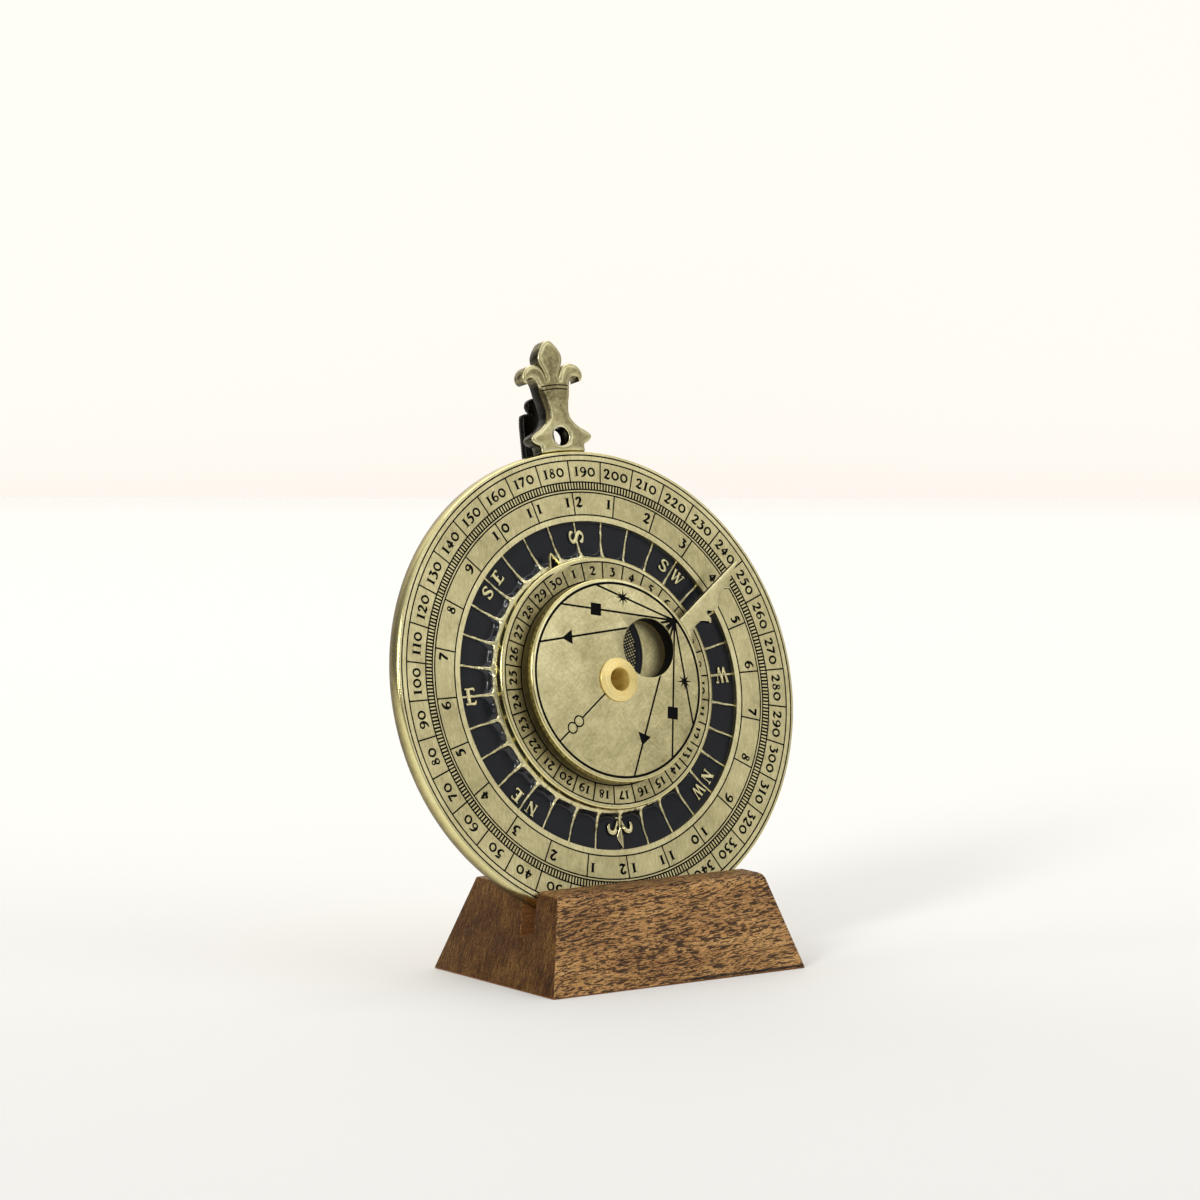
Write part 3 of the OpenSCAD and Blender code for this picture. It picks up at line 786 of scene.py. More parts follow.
def dark_brass():
    """Blackened brass, paler in patches."""
    k = Nodes("dark_brass", 1.0, 0.3)
    p = k.space()
    n = k.noise(p, 0.5, 5, 0.6)
    f = k.noise(k.mapped(p, (8, 0.5, 2)), 1.0, 3)
    t = k.math("ADD", k.add((n, 0.6), (f, 0.35)), 0.5)
    col = k.ramp(t, [(0.2, (0.004, 0.004, 0.004)), (0.62, (0.015, 0.014, 0.012)), (0.95, (0.075, 0.062, 0.038))])
    k.out("Base Color", col)
    k.out("Roughness", k.remap(t, 0.2, 0.8, 0.16, 0.34))
    k.out("Normal", k.bump(k.math("ADD", n, f), 0.00002, 0.6))
    return k.m


M_DARK = dark_brass()


def enamel():
    """Blue-black enamel, slightly uneven, with fine pits and dust."""
    k = Nodes("black_enamel", 0.0, 0.2)
    p = k.space()
    big = k.noise(p, 0.22, 3, 0.5)
    fine = k.noise(p, 5.0, 3, 0.6)
    speck = k.remap(k.cells(p, 1.5), 0.10, 0.05)
    col = k.ramp(big, [(0.25, (0.0090, 0.0105, 0.0150)), (0.75, (0.0185, 0.0195, 0.0235))])
    col = k.mix(k.math("MULTIPLY", speck, 0.06), col, (0.10, 0.10, 0.09))
    k.out("Base Color", col)
    # the flat of a cell is dulled, the meniscus against the metal still shines
    wet = k.remap(k.facing(W_AXIS), 0.97, 0.80)
    k.out("Roughness", k.math("SUBTRACT", k.math("ADD", k.remap(big, 0.3, 0.7, 0.22, 0.32), k.math("MULTIPLY", fine, 0.08)), k.math("MULTIPLY", wet, 0.14)))
    k.s.inputs["IOR"].default_value = 1.52
    k.out("Specular IOR Level", k.math("MULTIPLY_ADD", wet, 0.36, 0.14))
    k.out("Normal", k.bump(k.math("ADD", big, k.math("MULTIPLY", fine, 0.12)), 0.00006, 0.5))
    return k.m


M_ENAMEL = enamel()


def walnut():
    """Stained hardwood: short dark pores along the length, finely striped and mottled on the ends."""
    k = Nodes("walnut", 0.0, 0.5)
    p = k.space(dial=False)
    warp = k.noise(k.mapped(p, (0.03, 0.09, 0.09)), 1.0, 2)
    q = k.mapped(p, turn=(0, 5.5, 0))
    v = k.t.nodes.new("ShaderNodeVectorMath")
    v.operation = "ADD"
    k.t.links.new(q, v.inputs[0])
    c = k.t.nodes.new("ShaderNodeCombineXYZ")
    k.put(c.inputs[2], k.math("MULTIPLY_ADD", warp, 4.0, -2.0))
    k.put(c.inputs[1], k.math("MULTIPLY_ADD", warp, 2.0, -1.0))
    k.t.links.new(c.outputs[0], v.inputs[1])
    q = v.outputs[0]
    # long grain
    zone = k.noise(k.mapped(q, (0.03, 0.20, 0.20)), 1.0, 3, 0.5)
    tint = k.noise(k.mapped(q, (0.10, 1.1, 1.1), shift=(5, 2, 1)), 1.0, 4, 0.6)
    fibre = k.noise(k.mapped(q, (0.7, 8, 8)), 1.0, 3, 0.65)
    speck = k.noise(k.mapped(q, (2.4, 6.0, 6.0), shift=(2, 5, 9)), 1.0, 2, 0.6)
    pore1 = k.noise(k.mapped(q, (0.38, 2.8, 2.8)), 1.0, 2.0, 0.5)
    pore2 = k.noise(k.mapped(q, (0.72, 4.8, 4.8), shift=(9, 4, 7)), 1.0, 2.0, 0.5)
    pore3 = k.noise(k.mapped(q, (1.1, 4.2, 4.2), shift=(3, 14, 5)), 1.0, 1.5, 0.5)
    line = k.noise(k.mapped(q, (0.045, 1.6, 1.6), shift=(1, 8, 3)), 1.0, 3, 0.6)
    base_t = k.math("ADD", k.add((zone, 0.7), (tint, 0.8), (fibre, 0.8), (speck, 0.8)), 0.5)
    long_col = k.ramp(base_t, [(0.08, (0.19, 0.082, 0.026)), (0.4, (0.41, 0.205, 0.070)), (0.62, (0.61, 0.335, 0.120)), (0.92, (0.78, 0.48, 0.200))])
    lean_t = k.math("MULTIPLY_ADD", zone, -0.08, 0.04)
    pa = k.math("MULTIPLY", k.remap(k.math("ADD", pore1, lean_t), 0.545, 0.60), 0.96)
    pb = k.math("MULTIPLY", k.remap(k.math("ADD", pore2, lean_t), 0.54, 0.61), 0.92)
    pc = k.math("MULTIPLY", k.remap(line, 0.61, 0.70), 0.55)
    pd = k.math("MULTIPLY", k.remap(k.math("ADD", pore3, lean_t), 0.57, 0.64), 0.85)
    pores = k.math("MAXIMUM", k.math("MAXIMUM", pa, pb), k.math("MAXIMUM", pc, pd))
    pores = k.math("MULTIPLY", pores, k.remap(fibre, 0.2, 0.5, 0.65, 1.0))
    long_col = k.mix(k.math("MULTIPLY", pores, 0.95), long_col, (0.020, 0.012, 0.011))
    # a dark line just above the lowest edge, towards the right
    at = k.t.nodes.new("ShaderNodeSeparateXYZ")
    k.t.links.new(p, at.inputs[0])
    low = k.math("ADD", at.outputs[2], k.math("MULTIPLY_ADD", zone, 0.7, -0.35))
    low_dark_line = k.math("MULTIPLY", k.remap(low, 0.30, 0.42), k.remap(low, 0.95, 0.70))
    low_dark_line = k.math("MULTIPLY", low_dark_line, k.remap(at.outputs[0], -6.0, 10.0))
    long_col = k.mix(k.math("MULTIPLY", low_dark_line, 0.9), long_col, (0.014, 0.010, 0.010))
    # end grain
    stripe = k.noise(k.mapped(p, (0.3, 3.0, 0.30), shift=(0, 3, 1)), 1.0, 4, 0.65)
    stripe2 = k.noise(k.mapped(p, (0.3, 7.0, 0.9)), 1.0, 3, 0.6)
    mott = k.noise(p, 0.17, 4, 0.6, 0.4)
    fleck = k.noise(k.mapped(p, (5.0, 5.0, 3.2)), 1.0, 2, 0.6)
    e_t = k.math("ADD", k.add((stripe, 0.85), (stripe2, 0.95), (mott, 0.62), (fleck, 0.95)), 0.5)
    end_col = k.ramp(e_t, [(0.10, (0.014, 0.005, 0.002)), (0.40, (0.060, 0.025, 0.008)), (0.62, (0.130, 0.060, 0.017)), (0.82, (0.245, 0.130, 0.036)), (1.0, (0.39, 0.24, 0.075))])
    nx = k.math("ABSOLUTE", k.facing((1, 0, 0)))
    end = k.remap(nx, 0.55, 0.80)
    # faces that look up are painted darker: painted shade
    long_col = k.mix(k.math("MULTIPLY", k.remap(k.facing((0, 0, 1)), 0.55, 0.9), 0.8), long_col, (0.62, 0.58, 0.56), "MULTIPLY")
    col = k.mix(end, long_col, end_col)
    k.out("Base Color", col)
    k.out("Roughness", k.math("ADD", k.remap(base_t, 0.2, 0.8, 0.56, 0.44), k.math("MULTIPLY", pores, 0.2)))
    k.out("Specular IOR Level", k.math("MULTIPLY_ADD", end, -0.10, 0.21))
    h = k.math("SUBTRACT", k.math("MULTIPLY", fibre, 0.25), k.math("MULTIPLY", pores, k.math("SUBTRACT", 1.0, end)))
    h = k.math("ADD", h, k.math("MULTIPLY", k.math("MULTIPLY", stripe2, end), 0.5))
    k.out("Normal", k.bump(h, 0.00007, 0.8))
    return k.m


def raw_wood():
    """Unstained, machined wood inside the slot and on the bottom edge."""
    k = Nodes("raw_wood", 0.0, 0.7)
    p = k.space(dial=False)
    a = k.noise(k.mapped(p, (0.3, 3.5, 3.5)), 1.0, 3, 0.6)
    s = k.noise(p, 4.0, 3, 0.7)
    t = k.math("ADD", k.add((a, 0.9), (s, 0.9)), 0.5)
    k.out("Base Color", k.ramp(t, [(0.2, (0.060, 0.022, 0.009)), (0.5, (0.215, 0.088, 0.026)), (0.85, (0.44, 0.200, 0.062))]))
    k.s.inputs["Specular IOR Level"].default_value = 0.2
    k.out("Normal", k.bump(s, 0.0001, 0.6))
    return k.m


M_WOOD = walnut()
M_RAW = raw_wood()


def steel():
    k = Nodes("spring_steel", 1.0, 0.3)
    p = k.space()
    n = k.noise(p, 0.9, 4, 0.6)
    f = k.noise(k.mapped(p, (6, 6, 0.6)), 1.0, 3)
    t = k.math("ADD", k.add((n, 0.6), (f, 0.4)), 0.5)
    k.out("Base Color", k.ramp(t, [(0.1, (0.20, 0.19, 0.18)), (0.6, (0.46, 0.455, 0.44)), (0.95, (0.62, 0.62, 0.60))]))
    k.out("Roughness", k.remap(t, 0.2, 0.8, 0.42, 0.24))
    k.out("Normal", k.bump(f, 0.00002, 0.6))
    return k.m


M_STEEL = steel()


# ------------------------------------------------------------------ main plate
PLATE_T = 3.3
N = 720
LINE = 0.27
BOLD = 1.85


# compass ring: thirty-two cells between ribs that flare into the collar
STEP = 11.25
HALF = math.radians(STEP / 2)
CELL_IN, CELL_ARCH = 22.98, 23.75


def web(r):
    """Half the thickness of a rib."""
    return float(np.interp(r, [22.6, 23.0, 23.3, 23.7, 24.3, 25.3, 27.0, 29.6], [0.58, 0.50, 0.38, 0.28, 0.215, 0.175, 0.15, 0.14]))


def cell_half(r):
    if r >= CELL_ARCH:
        return r * math.tan(HALF) - web(r)
    w = CELL_ARCH * math.tan(HALF) - web(CELL_ARCH)
    t = min(1.0, (CELL_ARCH - r) / (CELL_ARCH - CELL_IN))
    return w * (1 - t ** 4) ** 0.25


CELL_ROWS = [CELL_ARCH - t * (CELL_ARCH - CELL_IN) for t in (0.999, 0.99, 0.96, 0.9, 0.8, 0.6, 0.35)] + \
    [23.75, 24.1, 24.6, 25.2, 25.9, 26.6, 27.4, 28.3, 29.0]


def turned(loop, deg):
    a = -math.radians(deg)
    c, s = math.cos(a), math.sin(a)
    return [(x * c - y * s, x * s + y * c) for x, y in loop]


# the recess's outer ring has a vertex wherever a rib's side meets it
ROSE_RO = 29.55
_top = math.degrees(math.asin((ROSE_RO * math.tan(HALF) - web(29)) * math.cos(HALF) / ROSE_RO))
_arc = [_top * (1 - k / 5) for k in range(11)]     # one cell's angles, from its right side to its left
_side = [(cell_half(r), r) for r in CELL_ROWS]
_cell = [(0, CELL_IN)] + _side + [pol(ROSE_RO, a) for a in _arc] + [(-x, r) for x, r in _side[::-1]]
ROSE_RING = [pol(ROSE_RO, STEP * k + STEP / 2 + a) for k in range(32) for a in sorted(_arc) + [STEP / 2]]
CELL_SEGS = [(*a, *bb) for a, bb in zip(_cell, _cell[1:] + _cell[:1])]


def crest(r):
    """Height of the ribs' crest."""
    return float(np.interp(r, [22.0, 22.6, 22.95, 23.3, 24.0, 25.0, 26.2, 27.0, 30], [0.5, 0.46, 0.38, 0.16, -0.22, -0.50, -0.66, -0.73, -0.73]))


def rose_height(x, y):
    r = math.hypot(x, y)
    phi = math.degrees(math.atan2(x, y))
    off = (phi % STEP) - STEP / 2          # folded on the nearest cell's axis
    px, py = r * math.sin(math.radians(off)), r * math.cos(math.radians(off))
    d = disc_to_segments([(px, py)], CELL_SEGS)[0]
    soft = 0.13 * (1 - min(d / 0.17, 1.0)) ** 2
    wob = 0.035 * math.sin(3.1 * phi + r * 2.2) + 0.025 * math.sin(7.7 * phi - r * 5.1)
    k = (0.35 + 0.65 * max(0.0, min(1.0, (26.5 - r) / 3))) * (1.0 if 22.7 < r < 29.2 else 0.0)
    return crest(r) - soft + wob * k


def wander(r, k):
    """The ribs were not cast quite straight."""
    fade = max(0.0, min(1.0, (r - 23.6) / 0.8)) * max(0.0, min(1.0, (29.0 - r) / 0.8))
    return fade * (0.035 * math.sin(1.7 * r + 2.3 * k) + 0.025 * math.sin(4.1 * r - 5.7 * k))


def rose(b):
    cells = []
    for k in range(32):
        a = STEP * k + STEP / 2
        lp = turned([(0, CELL_IN)] + [(x + wander(r, k), r) for x, r in _side], a) + [pol(ROSE_RO, a + t) for t in _arc]
        cells.append((lp + turned([(-x + wander(r, k + 31.5), r) for x, r in _side[::-1]], a), None))
    pts = []
    for k in range(32):
        for r in (22.8, 23.05, 23.35, 23.7, 24.1, 24.6, 25.2, 25.9, 26.7, 27.6, 28.6):
            h = web(r) if r > 24.3 else min(2.2, r * math.tan(HALF) - cell_half(max(r, CELL_IN)))
            for t in (-0.72, -0.35, 0.0, 0.35, 0.72) if r < 24.4 else (-0.5, 0.0, 0.5):
                q = turned([(t * h, r)], STEP * k)[0]
                pts.append(q)
    sheet(b, [ROSE_RING], [ring_pts(22.6, N)], cells, -0.73, 0.87, height=rose_height, points=pts, mat_cut=0, floor=-1.6)
    n = len(ROSE_RING)
    b.add([(x, y, 0) for x, y in ROSE_RING] + [(x, y, rose_height(x, y)) for x, y in ROSE_RING],
          [(k, (k + 1) % n, (k + 1) % n + n, k + n) for k in range(n)])


def plate_front(b):
    cuts = [circle_cut(r, w, N) for r, w in
            ((41.5, LINE), (40.5, LINE), (36.6, LINE), (35.25, LINE), (34.75, LINE), (30.65, LINE))]
    for k in range(360):
        if k % 10:
            cuts.append(radial_bar(35.25, 36.6, k, 0.335))
    for k in range(36):
        cuts.append(radial_bar(35.25, 40.5, 10 * k, 0.28))
    for k in range(1, 37):
        cuts += number_on_arc(str(10 * k), 38.52, 10 * k - 185, 1.72, bold=BOLD)
    for k in range(24):
        cuts.append(radial_bar(30.65, 34.75, 15 * k, 0.28))
        h = 12 if k % 12 == 0 else k % 12
        if h < 10:
            cuts += number_on_arc(str(h), 32.98, 15 * k - math.degrees(0.55 / 33), 1.74, align="end", bold=BOLD + 0.2)
        else:
            left, rgt = str(h)
            cuts += number_on_arc(left, 32.98, 15 * k - math.degrees(0.75 / 33), 1.74, align="end", bold=BOLD + 0.2)
            w = GLYPH[rgt][0] * 1.7
            cuts += number_on_arc(rgt, 32.98, 15 * k + math.degrees((0.5 + w) / 33), 1.74, align="end", bold=BOLD + 0.2)
    sheet(b, [ring_pts(41.93, N)], [ROSE_RING], cuts, 0.0, 0.12)


def plate_back(b):
    cuts = [circle_cut(r, w, N) for r, w in ((41.2, LINE), (38.4, LINE), (35.6, LINE), (34.6, LINE))]
    for k in range(360):
        cuts.append(radial_bar(34.6, 35.6, k + 0.5, 0.16))
    first = 0
    for m, days in enumerate((31, 28, 31, 30, 31, 30, 31, 31, 30, 31, 30, 31), 1):
        a0 = first / 365 * 360
        cuts.append(radial_bar(35.6, 41.2, a0, 0.2))
        cuts += number_on_arc(str(m), 39.8, a0 + days / 730 * 360, 1.7)
        for d in (10, 20, 30):
            if d <= days - 1:
                a = (first + d) / 365 * 360
                cuts.append(radial_bar(35.6, 36.3, a, 0.16))
                cuts += number_on_arc(str(d), 37.35, a, 1.25)
        first += days
    # the back is read from behind, so it is drawn mirrored
    cuts = [([(-x, y) for x, y in o], None if i is None else [(-x, y) for x, y in i]) for o, i in cuts]
    sheet(b, [ring_pts(41.93, N)], [ring_pts(2.92, N)], cuts, -PLATE_T, 0.12, up=False)


def main_plate():
    b = Build()
    plate_front(b)
    edge = [(41.93 + 0.47 * math.cos(t), -1.65 - 1.65 * math.sin(t)) for t in np.radians([-90, -84, -78, -72, -66, -60, -54, -47, -40, -32, -22, -10, 4, 18, 32, 45, 56, 66, 75, 83, 90])]
    lathe(b, edge, N, 2)
    rose(b)
    lathe(b, [(22.6, 0.46), (22.5, 0.55), (2.92, 0.55), (2.92, -3.3)], N, [2, 0, 0])
    plate_back(b)
    return b




# ------------------------------------------------------------------ enamel of the compass ring
def cell_drop(px, py):
    """How far the enamel stands up: a little along every wall, and in a round arch against the collar."""
    d = disc_to_segments([(px, py)], CELL_SEGS)[0]
    rise = 0.09 * math.exp(-d / 0.10)
    if py < 25.0:
        w = cell_half(25.0) - 0.12
        q = ((abs(px) / w) ** 2.3 + ((25.0 - py) / 1.45) ** 2.3) ** (1 / 2.3)
        t = max(0.0, min(1.0, (q - 0.93) / 0.5))
        rise += 0.80 * t * t * (3 - 2 * t)
    return rise


def compass_enamel():
    b = Build()
    rng = random.Random(5)
    rows = [CELL_IN + 0.02] + [r for r in CELL_ROWS if r < 29] + [28.6, 29.0, 29.25, 29.42, ROSE_RO - 0.015]
    rows = sorted(set(rows))
    us = [-math.cos(math.pi * k / 20) for k in range(21)]
    us = sorted(set([round(u, 6) for u in us] + [-0.97, 0.97]))
    base = []
    for r in rows:
        w = (cell_half(r) if r > CELL_IN + 0.03 else 0.5)
        w = w + (0.06 if r > 24.2 else 0.0)
        base.append([(w * u, r) for u in us])
    # the outer row follows the ring
    base[-1] = [pol(ROSE_RO - 0.012, _top * u) for u in us]
    lift = [[cell_drop(*q) for q in row] for row in base]
    nr, nu = len(rows), len(us)
    for k in range(32):
        tilt = rng.uniform(-0.02, 0.02)
        amp = rng.uniform(0.75, 1.25)
        lump = rng.uniform(-1, 1)
        top, bot = [], []
        for row, lf in zip(base, lift):
            for (x, y), h in zip(row, lf):
                q = turned([(x, y)], STEP * k + STEP / 2)[0]
                near = max(0.0, min(1.0, (25.2 - y) / 1.6))
                h2 = h * (amp + 0.22 * near * math.sin(3.0 * x + 4 * lump))
                top.append((*q, min(-1.0 + h2 + tilt * x + 0.012 * math.sin(2.1 * y + k), crest(y) - 0.16)))
                bot.append((*q, -1.57))
        faces = []
        for i in range(nr - 1):
            for j in range(nu - 1):
                a = i * nu + j
                faces.append((a, a + 1, a + nu + 1, a + nu))
                faces.append((a + nr * nu, a + nu + nr * nu, a + nu + 1 + nr * nu, a + 1 + nr * nu))
        loop = [j for j in range(nu)] + [i * nu + nu - 1 for i in range(1, nr)] + \
            [(nr - 1) * nu + j for j in range(nu - 2, -1, -1)] + [i * nu for i in range(nr - 2, 0, -1)]
        m = nr * nu
        faces += [(loop[i], loop[(i + 1) % len(loop)], loop[(i + 1) % len(loop)] + m, loop[i] + m) for i in range(len(loop))]
        b.add(top + bot, faces)
    return b


# ------------------------------------------------------------------ raised letters of the rose
# strokes in a 1 mm tall em, x right and y up
LETTER = {
    "N": (0.98, [
        ("r", [(0.16, 0.0, 0.10), (0.16, 1.0, 0.10)]),
        ("r", [(0.10, 1.0, 0.20), (0.82, 0.02, 0.22)]),
        ("r", [(0.80, 0.0, 0.09), (0.80, 1.0, 0.09)]),
        ("r", [(-0.02, 1.0, 0.09), (0.32, 1.0, 0.07)]), ("r", [(0.02, 0.02, 0.09), (0.32, 0.02, 0.09)]),
        ("r", [(0.64, 1.0, 0.09), (0.98, 1.0, 0.09)]),
    ]),
    "E": (0.70, [
        ("r", [(0.27, 0.0, 0.22), (0.27, 1.0, 0.22)]),
        ("r", [(0.0, 0.99, 0.09), (0.40, 0.98, 0.10), (0.68, 0.98, 0.14), (0.73, 0.82, 0.06)]),
        ("r", [(0.27, 0.53, 0.10), (0.46, 0.53, 0.11), (0.55, 0.53, 0.24)]),
        ("r", [(0.0, 0.01, 0.09), (0.40, 0.02, 0.11), (0.70, 0.04, 0.15), (0.78, 0.22, 0.06)]),
    ]),
    "S": (0.66, [
        ("r", [(0.56, 0.70, 0.05), (0.56, 0.86, 0.16), (0.38, 0.97, 0.12), (0.18, 0.92, 0.14), (0.08, 0.74, 0.17),
               (0.22, 0.56, 0.20), (0.44, 0.44, 0.20), (0.58, 0.26, 0.17), (0.48, 0.08, 0.14), (0.28, 0.02, 0.12),
               (0.08, 0.12, 0.16), (0.06, 0.30, 0.05)]),
    ]),
    "W": (1.30, [
        ("r", [(0.14, 1.0, 0.18), (0.40, 0.0, 0.16)]), ("r", [(0.40, 0.0, 0.09), (0.66, 0.98, 0.09)]),
        ("r", [(0.60, 1.0, 0.18), (0.88, 0.0, 0.16)]), ("r", [(0.88, 0.0, 0.09), (1.14, 0.98, 0.09)]),
        ("r", [(0.0, 1.0, 0.09), (0.30, 1.0, 0.09)]), ("r", [(0.50, 1.0, 0.09), (0.78, 1.0, 0.08)]),
        ("r", [(1.0, 1.0, 0.09), (1.28, 1.0, 0.09)]),
    ]),
}


def letter_loops(ch, size, mid, turn, wide=1.0, bold=1.0):
    """Outlines of a raised letter of that height, its middle at mid, its top turned clockwise by turn degrees."""
    w, strokes = LETTER[ch]
    a = -math.radians(turn)
    c, s = math.cos(a), math.sin(a)
    out = []
    for kind, rows in strokes:
        lp = ribbon([(x, y, q * bold) for x, y, q in rows], 5)
        lp = [((x - w / 2) * size * wide, (y - 0.5) * size) for x, y in lp]
        out.append([(mid[0] + x * c - y * s, mid[1] + x * s + y * c) for x, y in lp])
    return out


def rose_letters():
    b = Build()
    z0, z1 = -1.12, -0.66

    def put(ch, r, deg, size, turn, wide=1.0, bold=1.0, z=z1):
        pillow(b, letter_loops(ch, size, pol(r, deg), turn, wide, bold), z0, z, 0.09, grid=0.22, levels=2)

    put("S", 26.8, 0, 2.95, 90, 1.15, 1.25)
    put("W", 27.1, 90, 2.7, 180, 0.80, 1.30)
    put("E", 27.45, 270, 2.75, 0, 1.0, 1.2)
    for deg, two in ((45, "SW"), (135, "NW"), (225, "NE"), (315, "SE")):
        put(two[0], 27.35, deg - 3.7, 2.2, deg - 3.7, 1.15 if two[0] == "S" else 0.95, 1.25)
        put(two[1], 27.35, deg + 3.5, 2.2, deg + 3.5, 0.92 if two[1] == "W" else 1.05, 1.25)
    return b


def fleur_loops():
    """Small fleur-de-lis that marks the north, its tip outwards. x across, y outwards from the axis."""
    spear = ribbon([(0, 25.35, 0.12), (0, 25.8, 0.55), (0, 26.4, 1.1), (0, 27.1, 1.5), (0, 27.8, 1.25), (0, 28.5, 0.75), (0, 29.1, 0.32), (0, 29.5, 0.10)], 5)
    side = ribbon([(0.42, 24.25, 0.28), (0.62, 24.95, 0.5), (0.95, 25.75, 0.72), (1.45, 26.3, 0.92), (2.05, 26.25, 0.9), (2.42, 25.7, 0.66),
                   (2.38, 25.1, 0.55), (2.2, 24.65, 0.34)], 5)
    knob = [(0.84 * math.cos(t), 23.72 + 0.36 * math.sin(t)) for t in np.linspace(0, 2 * math.pi, 33)[:-1]]
    loops = [spear, side, [(-x, y) for x, y in side], knob]
    return [turned(lp, 180) for lp in loops]


def fleur_ridge(P, d):
    """The spear is keeled, the petals are domed."""
    t = np.array([turned([tuple(p)], 180)[0] for p in P])
    spear = (t[:, 1] > 25.3) & (np.abs(t[:, 0]) < 0.82)
    return np.where(spear, -0.62 * np.minimum(np.abs(t[:, 0]), 0.6), -0.10 + 0.3 * np.minimum(d, 0.35))


# ------------------------------------------------------------------ handle
HANDLE_HALF = [
    (4.66, 42.75), (4.64, 43.1), (4.85, 43.55), (5.4, 43.8), (6.05, 44.15), (6.4, 44.6), (6.4, 45.1),
    (5.9, 45.6), (5.1, 46.1), (4.3, 46.55), (3.5, 47.2), (2.9, 47.9), (2.5, 48.6), (2.38, 49.4), (2.44, 50.2), (2.66, 51.3),
    (2.95, 52.3), (3.16, 53.2), (3.28, 54.0), (3.42, 54.6), (3.62, 55.15), (3.9, 55.58), (4.25, 55.84), (4.7, 55.9), (5.2, 55.8),
    (5.52, 55.55), (5.64, 55.2), (5.55, 54.85), (5.95, 55.0), (6.28, 55.4), (6.42, 55.95), (6.35, 56.55), (6.03, 57.15),
    (5.5, 57.68), (4.85, 58.02), (4.1, 58.18), (3.4, 58.12), (2.8, 57.86), (2.2, 57.35), (1.75, 56.6), (1.42, 55.7),
    (1.55, 56.5), (1.86, 57.25), (2.2, 57.95), (2.44, 58.6), (2.54, 59.2), (2.48, 59.8), (2.2, 60.5), (1.65, 61.35), (0.95, 62.15)]


def handle():
    b = Build()
    foot_a = [pol(42.43, a) for a in np.linspace(6.2, -6.2, 25)]
    rgt = [(p[0], p[1]) for p in spline([(4.66, 42.5)] + HANDLE_HALF, 3)][1:]
    outline = rgt + [(0.4, 62.5), (0, 62.58), (-0.4, 62.5)] + [(-x, y) for x, y in rgt[::-1]] + [(-4.64, 42.3)] + [(p[0], p[1]) for p in foot_a[::-1]] + [(4.64, 42.3)]
    hole = ring_pts(1.66, 48, (0, 45.1))

    def arch(x, v):
        return v + 0.26 * (1 - (x / 3.0) ** 2)

    def off_lines(P):
        return np.minimum(np.abs(P[:, 1] - arch(P[:, 0], 54.12)), np.abs(P[:, 1] - arch(P[:, 0], 53.42)))

    reach = 2.8

    def crown(P, d):
        # two tying lines under the petals, and a faint swell of the face
        cut = np.where((off_lines(P) < 0.075) & (np.abs(P[:, 0]) < reach), 0.16, 0.0)
        # the shank's left side is filed back
        back = np.clip((P[:, 1] - 47.2) / 1.2, 0, 1) * np.clip((54.6 - P[:, 1]) / 1.0, 0, 1) * (P[:, 0] < 0)
        return -cut - 0.05 * np.exp(-np.maximum(d - 0.5, 0) / 0.9) - 0.42 * back * np.clip(1 - d / 0.95, 0, 1) ** 1.4

    def inked(P):
        return (off_lines(P) < 0.085) & (np.abs(P[:, 0]) < reach)

    extra = []
    for v in (54.12, 53.42):
        for x in np.arange(-2.78, 2.79, 0.13):
            for dy in (-0.11, -0.06, 0.06, 0.11):
                extra.append((x, arch(x, v) + dy))
    pillow(b, [outline], -3.7, -0.4, 0.85, 0.3, holes=[hole], grid=0.38, crown=crown, levels=6, extra=extra, inked=inked, drop=0.36)
    return b


# ------------------------------------------------------------------ moon-age disc
MOON_TURN = -17.3
MOON_Z = 2.42


def arc_cut(r, width, a0, a1, step=0.5, flare=0.0):
    """A long cut along a circle from angle a0 to a1, tapering at its ends."""
    n = int((a1 - a0) / step)
    rows = []
    for k in range(n + 1):
        a = a0 + (a1 - a0) * k / n
        e = min(1.0, (k + 0.4) / 4, (n - k + 0.4) / 4)
        rows.append((*pol(r, a), width * e))
    return (ribbon(rows, smooth=False), None)


NEW_C = pol(6.05, MOON_TURN)
NEW_R = 10.14


def moon_disc():
    b = Build()
    cuts = [arc_cut(21.72, LINE, MOON_TURN + 5.0, MOON_TURN + 360 - 4.5), circle_cut(18.38, LINE, N)]
    for k in range(30):
        a = MOON_TURN + 12 * k
        cuts.append(radial_bar(18.38, 21.72 if k else 21.35, a, 0.30))
        cuts += number_on_arc(str(k + 1), 20.12, a + 6, 1.5, track=0.10, bold=1.95)
    sheet(b, [ring_pts(22.25, N)], [ring_pts(NEW_R, 240, NEW_C)], cuts, MOON_Z, 0.12)
    # rim, then the underside
    lathe(b, [(22.25, 2.42), (22.36, 2.40), (22.48, 2.33), (22.58, 2.22), (22.63, 2.08), (22.65, 1.9), (22.65, 1.2),
              (22.64, 0.95), (22.62, 0.86), (22.57, 0.80), (22.5, 0.78), (22.5, 0.70), (22.44, 0.65), (22.2, 0.65)], N, 2)
    sheet(b, [ring_pts(22.2, N)], [ring_pts(2.95, 96)], [], 0.65, 0.1, up=False)
    lathe(b, [(2.95, 0.65), (2.95, 2.42), (3.75, 2.42)], 96)
    boss = ring_pts(3.75, 96)
    # floor of the new-moon field, its wall and the boss
    circle = ring_pts(NEW_R, 240, NEW_C)
    n = len(circle)
    b.add([(*p, 2.42) for p in circle] + [(*p, 1.92) for p in circle], [(k, (k + 1) % n, (k + 1) % n + n, k + n) for k in range(n)])
    sheet(b, [circle], [boss], [], 1.92, 0.1)
    n = len(boss)
    b.add([(*p, 2.42) for p in boss] + [(*p, 1.92) for p in boss], [(k, (k + 1) % n, (k + 1) % n + n, k + n) for k in range(n)])
    return b


